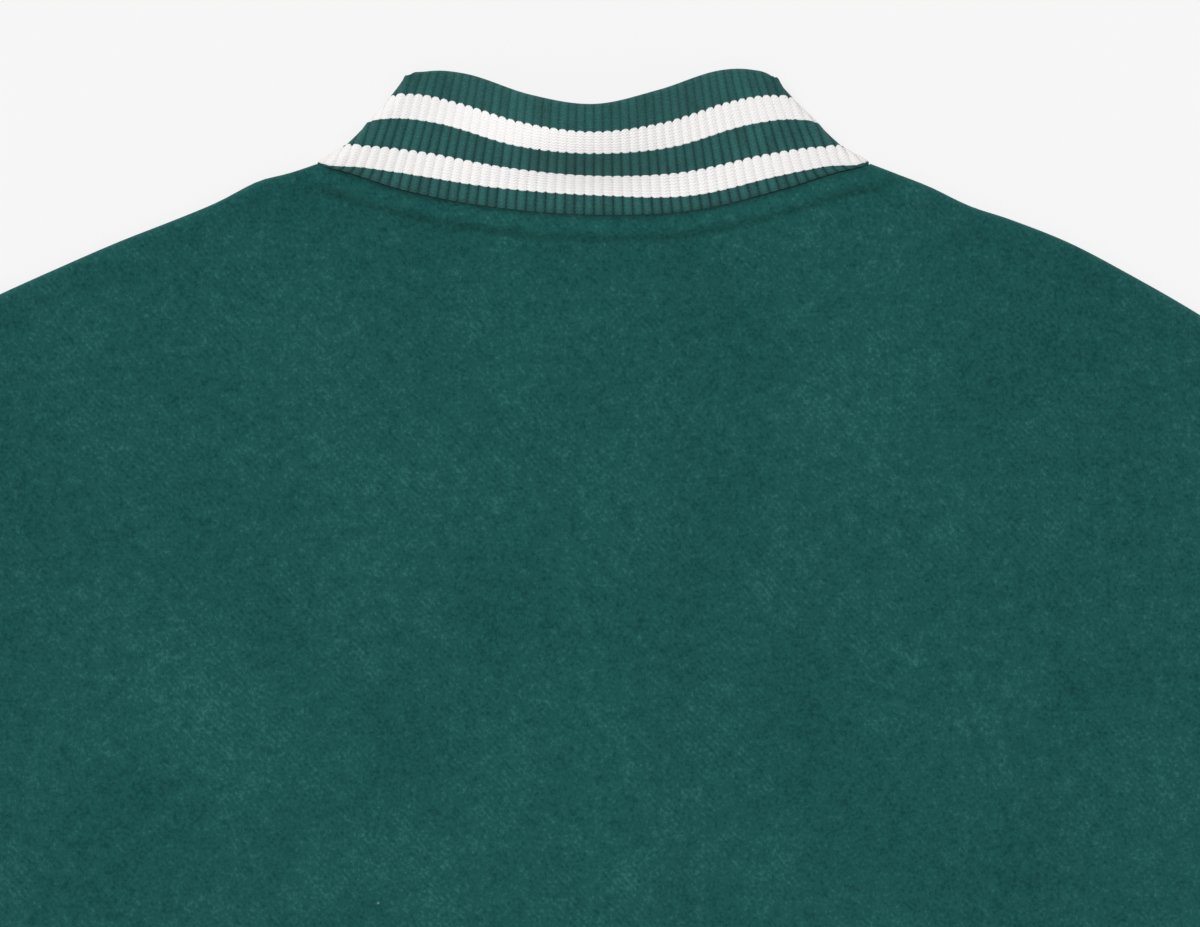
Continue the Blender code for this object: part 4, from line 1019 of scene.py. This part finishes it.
def make_collar(mat):
    per = RIB_STEPS
    wales = np.arange(-COLLAR_WALES * per, COLLAR_WALES * per + 1) / per
    tall = np.concatenate([[0, 0.5, 1.2, 2.1], np.linspace(3.4, COLLAR_TALL - 3.2, 26),
                           COLLAR_TALL - np.array([2.0, 1.3, 0.8, 0.4, 0.15, 0.0])])
    phi, mm = np.meshgrid(wales, tall)
    up = mm / COLLAR_TALL
    sgn, a = np.sign(phi), np.abs(phi)
    sgn[sgn == 0] = 1
    pitch = RIB_PITCH_LOW + (RIB_PITCH_TOP - RIB_PITCH_LOW) * up
    half = collar_half(up)
    around = half + TURN * (math.pi / 2 - 1)
    fold = around / pitch
    on_back = a <= fold
    share = sgn * (half - arc_to_plan(np.clip(around - a * pitch, 0, None))) / half
    share = np.clip(share, -1, 1)
    back = collar_back(share, up)
    gain = collar_gain(share, up, (a - fold) * pitch)
    rise = hermite([r[0] for r in COLLAR_RISE], [r[1] for r in COLLAR_RISE], up) * (1 - step(np.abs(share) / RISE_REACH))
    m = np.zeros(phi.shape + (3,))
    mb, _ = layer(back, 1, COLLAR_EDGE, RIB_MID, RIB_FOLD, none, gap=0.0)
    mb[..., 2] += rise
    mb[..., :2] += gain
    g = np.clip((a - fold) / (COLLAR_WALES - fold), 0, 1)
    for s in (-1, 1):
        low, high = FRONT_NECK_PATH[s], COLLAR_FRONT_TOP_PATH[s]
        d_low = arc_to_plan(g * (low.length + TURN * (math.pi / 2 - 1)))
        d_high = d_low / low.length * high.length
        corner = collar_back(np.full_like(up, s), up) - ((1 - up)[..., None] * low.at(0.0) + up[..., None] * high.at(0.0))
        p = (1 - up)[..., None] * low.at(d_low) + up[..., None] * high.at(d_high) + corner * ((1 - d_low / low.length) ** 2)[..., None]

        def lift(x, y, s=s):
            return COLLAR_LIFT * step((35 - x) / 30) if s > 0 else x * 0.0
        mf, _ = layer(p, -1, COLLAR_EDGE, RIB_MID, RIB_FOLD, none, gap=0.0)
        mf[..., 2] += lift(p[..., 0], p[..., 1]) * (1 - 0.7 * up)
        mf[..., :2] += gain * ((1 - d_low / low.length) ** 2)[..., None]
        mask = (~on_back) & (sgn == s)
        m[mask] = mf[mask]
    m[on_back] = mb[on_back]
    # a small clearance at the neck seam
    seam = np.exp(-(mm / 2.2) ** 2)
    m[..., 1] += np.where(on_back, 0.18, 0) * seam
    n = normals_of(m)
    share_of_wall = edge_round(COLLAR_TALL - mm) * (1 - 0.55 * np.exp(-(mm / 1.1) ** 2))
    end = (COLLAR_WALES - a) * pitch
    share_of_wall = np.maximum(share_of_wall * edge_round(end + 0.1, 1.6), 0.03)
    # the ribs are stretched flatter towards the top edge
    outer, inner = rib_walls(m, n, phi, share_of_wall, RIB_DEEP * (1 - 0.45 * step((mm - 6) / 36)))
    outer[..., 2] -= np.where(on_back, 0.4 * seam, 0)
    inner[..., 2] += np.where(on_back, 0.35 * np.exp(-(mm / 1.0) ** 2), 0)
    uv = np.stack([(phi + 200.0) / 100.0, mm / 100.0], axis=-1)
    return cloth("collar_rib", outer, inner, mat, uv)


def stadium(half, radius, arc):
    """Round a flat tube: (offset across, height, normal across, normal up) at a distance from the middle of its top."""
    flat = half - radius
    total = 4 * flat + 2 * math.pi * radius
    a = np.mod(arc, total)
    o, z, no, nz = (np.zeros_like(a) for _ in range(4))
    q1 = a < flat
    o[q1], z[q1], nz[q1] = a[q1], radius, 1
    q2 = (a >= flat) & (a < flat + math.pi * radius)
    t = (a[q2] - flat) / radius
    o[q2], z[q2], no[q2], nz[q2] = flat + radius * np.sin(t), radius * np.cos(t), np.sin(t), np.cos(t)
    q3 = (a >= flat + math.pi * radius) & (a < 3 * flat + math.pi * radius)
    o[q3], z[q3], nz[q3] = 2 * flat + math.pi * radius - a[q3], -radius, -1
    q4 = (a >= 3 * flat + math.pi * radius) & (a < 3 * flat + 2 * math.pi * radius)
    t = (a[q4] - 3 * flat - math.pi * radius) / radius
    o[q4], z[q4], no[q4], nz[q4] = -flat - radius * np.sin(t), -radius * np.cos(t), -np.sin(t), -np.cos(t)
    q5 = a >= 3 * flat + 2 * math.pi * radius
    o[q5], z[q5], nz[q5] = a[q5] - total, radius, 1
    return o, z, no, nz, total


def make_cuff(side, name, mat):
    along = np.array(CUFF_AXIS) * (side, 1)
    across = np.array((-CUFF_AXIS[1], CUFF_AXIS[0])) * (side, 1)
    start = cuff_centre(side)
    ribs = 52
    cols = ribs * RIB_STEPS
    tall = np.concatenate([[GAP / 2, 0.7, 1.5], np.linspace(3.0, CUFF_LEN - 3.2, 26),
                           CUFF_LEN - np.array([2.0, 1.3, 0.8, 0.4, 0.15, 0.0])])
    m, n, phase = [], [], []
    for t in tall:
        half = CUFF_HALF + (CUFF_LOW_HALF - CUFF_HALF) * t / CUFF_LEN
        total = 4 * (half - RIB_FOLD) + 2 * math.pi * RIB_FOLD
        k = np.arange(cols)
        o, z, no, nz, _ = stadium(half, RIB_FOLD, k / cols * total)
        plan = start + along * t + o[:, None] * across
        m.append(np.stack([plan[:, 0], plan[:, 1], RIB_MID + z], axis=1))
        n.append(np.stack([no * across[0], no * across[1], nz], axis=1))
        phase.append(k / RIB_STEPS)
    m, n, phase = np.array(m), np.array(n), np.array(phase)
    mm = tall[:, None] + 0 * phase
    share = edge_round(CUFF_LEN - mm) * (1 - 0.5 * np.exp(-((mm - GAP / 2) / 1.1) ** 2))
    outer, inner = rib_walls(m, n, phase, np.maximum(share, 0.03))
    phases = np.concatenate([phase, phase[:, -1:] + 1 / RIB_STEPS], axis=1)
    uv = np.stack([(phases + 10) / 100.0, np.broadcast_to(tall[:, None], phases.shape) / 100.0], axis=-1)
    return cloth(name, outer, inner, mat, uv, closed=True)


def make_hem(mat):
    pitch = 3.8
    tall = np.concatenate([[SEAM / 2, 0.8, 1.7], np.linspace(3.2, 65 - 3.4, 17), 65 - np.array([2.0, 1.3, 0.8, 0.4, 0.15, 0.0])])
    mid_half = (HEM_TOP_HALF + HEM_LOW_HALF) / 2
    total = 4 * (mid_half - RIB_FOLD) + 2 * math.pi * RIB_FOLD
    reach = total / 2 - TAB - GAP          # arc from the middle of the back to the hem band's end
    ribs = round(reach / pitch)
    cols = np.arange(-ribs * 6, ribs * 6 + 1) / 6
    m, n, phase = [], [], []
    for t in tall:
        half = HEM_TOP_HALF + (HEM_LOW_HALF - HEM_TOP_HALF) * t / 65.0
        now = 4 * (half - RIB_FOLD) + 2 * math.pi * RIB_FOLD
        o, z, no, nz, _ = stadium(half, RIB_FOLD, cols / ribs * (now / 2 - TAB - GAP))
        y = BODY_HEM_Y - t - OFFSET * np.clip(-nz, 0, 1) * math.exp(-(t / 5.0) ** 2)
        top = np.clip(nz, 0, 1)
        m.append(np.stack([o, y, RIB_MID + z + (ridge(o, y) + (0.8 * uneven(o, y) + 0.9 * np.sin(o / 21.0 + 1.3 * np.sin(o / 47.0))
                                                      * step((t - 8) / 40)) * step(t / 24) * step((250 - abs(o)) / 30)) * top], axis=1))
        n.append(np.stack([no, 0 * no, nz], axis=1))
        phase.append(cols)
    m, n, phase = np.array(m), np.array(n), np.array(phase)
    mm = tall[:, None] + 0 * phase
    end = (ribs - np.abs(phase)) * pitch
    share = edge_round(65 - mm) * (1 - 0.5 * np.exp(-((mm - GAP / 2) / 1.1) ** 2)) * edge_round(end + 0.1, 1.6)
    outer, inner = rib_walls(m, n, phase, np.maximum(share, 0.03))
    # rows run down the jacket, so turn the grid to keep its faces outwards
    uv = np.stack([(phase + 200.0) / 100.0, mm / 100.0], axis=-1)
    return cloth("hem_rib", outer, inner, mat, uv)


# ================================================================ trim
def make_stitches(back_lift, mat):
    """Topstitches along the neck, each a short flattened bead of thread lying in the pressed line."""
    seam = collar_back(np.linspace(-1, 1, 400), 0.0)
    line = Path(moved(seam, -STITCH_AT)[6:-6], spacing=1.0)
    pitch, long, wide = 3.4, 2.5, 0.34
    points, quads = [], []
    around, stops = 8, (-1.0, -0.82, -0.45, 0.0, 0.45, 0.82, 1.0)
    count = int(line.length / pitch)
    for k in range(count):
        s = (k + 0.5) * pitch
        c, e = line.at(s), line.at(s + 0.5)
        if WOOL_EDGE.near(c[None])[0][0] < 9:
            continue
        t = (e - c) / np.linalg.norm(e - c)
        m, _ = layer(c[None], 1, WOOL_EDGE, MID, FOLD, laid)
        z = m[0, 2] + WOOL / 2 - 1.05 - 0.04
        base = len(points)
        for a in stops:
            r = math.sqrt(max(0.0, 1 - a * a)) * 0.85 + 0.12 * (abs(a) < 1)
            dip = -0.35 * a * a
            for b in range(around):
                w = 2 * math.pi * b / around
                off = wide * max(r, 0.06) * math.cos(w)
                p = c + t * a * long / 2 + np.array((-t[1], t[0])) * off
                points.append((p[0], p[1], z + dip + 0.22 * max(r, 0.06) * math.sin(w)))
        rings = len(stops)
        for i in range(rings - 1):
            for b in range(around):
                b2 = (b + 1) % around
                quads.append((base + i * around + b, base + i * around + b2,
                              base + (i + 1) * around + b2, base + (i + 1) * around + b))
        for i, flip in ((0, True), (rings - 1, False)):
            ring = [base + i * around + b for b in range(around)]
            for q in ((0, 1, 2, 3), (0, 3, 4, 7), (4, 5, 6, 7)):
                face = [ring[x] for x in q]
                quads.append(tuple(reversed(face)) if flip else tuple(face))
    return mesh_object("neck_topstitch", world(np.array(points)), np.array(quads), mat, np.zeros((len(quads), 4, 2)))


def make_cap(k, mat):
    """A snap cap seen from its domed side, with its rolled rim and a shallow centre."""
    y = CAP_FIRST_Y + (CAP_LAST_Y - CAP_FIRST_Y) * k / (CAP_N - 1)
    r, h = CAP_D / 2, CAP_H
    profile = [(0.05, 0.16 * h), (0.30, 0.14 * h), (0.42, 0.04 * h), (0.52, 0.0), (0.64, 0.02 * h), (0.78, 0.12 * h),
               (0.90, 0.30 * h), (0.97, 0.50 * h), (1.0, 0.68 * h), (0.995, 0.84 * h), (0.96, 0.95 * h),
               (0.90, h), (0.45, h), (0.05, h)]
    around = 48
    points = [(r * p * math.cos(2 * math.pi * b / around), y + r * p * math.sin(2 * math.pi * b / around), z)
              for p, z in profile for b in range(around)]
    quads = []
    rings = len(profile)
    for i in range(rings):
        i2 = (i + 1) % rings
        for b in range(around):
            b2 = (b + 1) % around
            quads.append((i * around + b, i * around + b2, i2 * around + b2, i2 * around + b))
    return mesh_object(f"cap_{k + 1}", world(np.array(points)), np.array(quads), mat, np.zeros((len(quads), 4, 2)))


# ================================================================ build
wool = wool_material()
COLLAR_EDGES = ((6.6, 15.5), (27.7, 37.0))
COLLAR_FOLDS = [float((collar_half(np.array([up]))[0] + TURN * (math.pi / 2 - 1)) / pitch)
                for up, pitch in ((0.0, RIB_PITCH_LOW), (1.0, RIB_PITCH_TOP))]
collar_mat = rib_material("collar_rib_knit", COLLAR_EDGES, COLLAR_TALL, COLLAR_FOLDS)
trim_mat = rib_material("band_rib_knit", ((16.5, 27.5), (37.5, 48.5)), 400.0)
thread = thread_material()
enamel = cap_material()

pieces = {}


def declare(obj, nodes):
    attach(obj, "root")
    if nodes:
        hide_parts(*nodes)
    pieces[obj.name] = obj


back, (w, l, area) = make_back(wool)
declare(back, ["back"])
for s, node, name in ((-1, "front_left", "front_panel_left"), (1, "front_right", "front_panel_right")):
    obj, (w, l, area) = make_front(s, name, wool)
    declare(obj, [node])
for s, node, name in ((-1, "sleeve_left", "sleeve_cloth_left"), (1, "sleeve_right", "sleeve_cloth_right")):
    obj, area = make_sleeve(s, name, wool)
    declare(obj, [node])
collar = make_collar(collar_mat)
declare(collar, ["collar"])
for s, node, name in ((-1, "cuff_left", "cuff_rib_left"), (1, "cuff_right", "cuff_rib_right")):
    declare(make_cuff(s, name, trim_mat), [node])
declare(make_hem(trim_mat), ["hem_band"])
declare(make_stitches(laid, thread), [])
for k in range(CAP_N):
    declare(make_cap(k, enamel), [f"snap_cap_{k + 1}"])

# ================================================================ floor, light, camera
FLOOR_ALBEDO, FLOOR_GLOW = 0.10, 0.815


def make_floor():
    size = 400.0
    points = np.array([(-size, -size, -0.0002), (size, -size, -0.0002), (size, size, -0.0002), (-size, size, -0.0002)])
    mat, nodes, links, shader = tree_of("pale_floor")
    shader.inputs["Base Color"].default_value = (FLOOR_ALBEDO, FLOOR_ALBEDO, FLOOR_ALBEDO, 1)
    shader.inputs["Emission Color"].default_value = (1, 1, 1, 1)
    shader.inputs["Emission Strength"].default_value = FLOOR_GLOW
    shader.inputs["Roughness"].default_value = 1.0
    shader.inputs["Specular IOR Level"].default_value = 0.0
    mesh = bpy.data.meshes.new("floor")
    mesh.from_pydata([tuple(p) for p in points], [], [(0, 1, 2, 3)])
    mesh.materials.append(mat)
    obj = bpy.data.objects.new("floor", mesh)
    scene.collection.objects.link(obj)


def area_light(name, place, target, size, power):
    data = bpy.data.lights.new(name, "AREA")
    data.shape = "DISK"
    data.size = size
    data.energy = power
    obj = bpy.data.objects.new(name, data)
    scene.collection.objects.link(obj)
    obj.location = place
    from mathutils import Vector
    obj.rotation_euler = (Vector(target) - Vector(place)).to_track_quat("-Z", "Y").to_euler()
    obj.visible_camera = False
    return obj


make_floor()
world_ = bpy.data.worlds.new("soft_light")
scene.world = world_
world_.use_nodes = True
wn, wl = world_.node_tree.nodes, world_.node_tree.links
wn.clear()
out = wn.new("ShaderNodeOutputWorld")
sky = wn.new("ShaderNodeBackground")
sky.inputs[0].default_value = (1.0, 1.0, 1.0, 1)
sky.inputs[1].default_value = 0.72
seen = wn.new("ShaderNodeBackground")
seen.inputs[0].default_value = (1.0, 1.0, 1.0, 1)
seen.inputs[1].default_value = 0.913
ray = wn.new("ShaderNodeLightPath")
both = wn.new("ShaderNodeMixShader")
wl.new(ray.outputs["Is Camera Ray"], both.inputs[0])
wl.new(sky.outputs[0], both.inputs[1])
wl.new(seen.outputs[0], both.inputs[2])
wl.new(both.outputs[0], out.inputs[0])

sun = bpy.data.lights.new("key", "SUN")
sun.energy = 1.30
sun.angle = math.radians(24)
key = bpy.data.objects.new("key", sun)
scene.collection.objects.link(key)
key.rotation_euler = (math.radians(-15), math.radians(-25), 0)

CAMERA_UP = 3.0
cam_data = bpy.data.cameras.new("camera")
cam_data.sensor_width = 36.0
cam_data.lens = 36.0 * CAMERA_UP / 0.480
cam_data.clip_start, cam_data.clip_end = 0.05, 1000.0
cam = bpy.data.objects.new("camera", cam_data)
scene.collection.objects.link(cam)
cam.location = (0.0024, (-99.4 + LENGTH_MID) * MM, LAYER_TOP * MM + CAMERA_UP)
cam.rotation_euler = (0, 0, 0)
scene.camera = cam

bpy.context.view_layer.update()
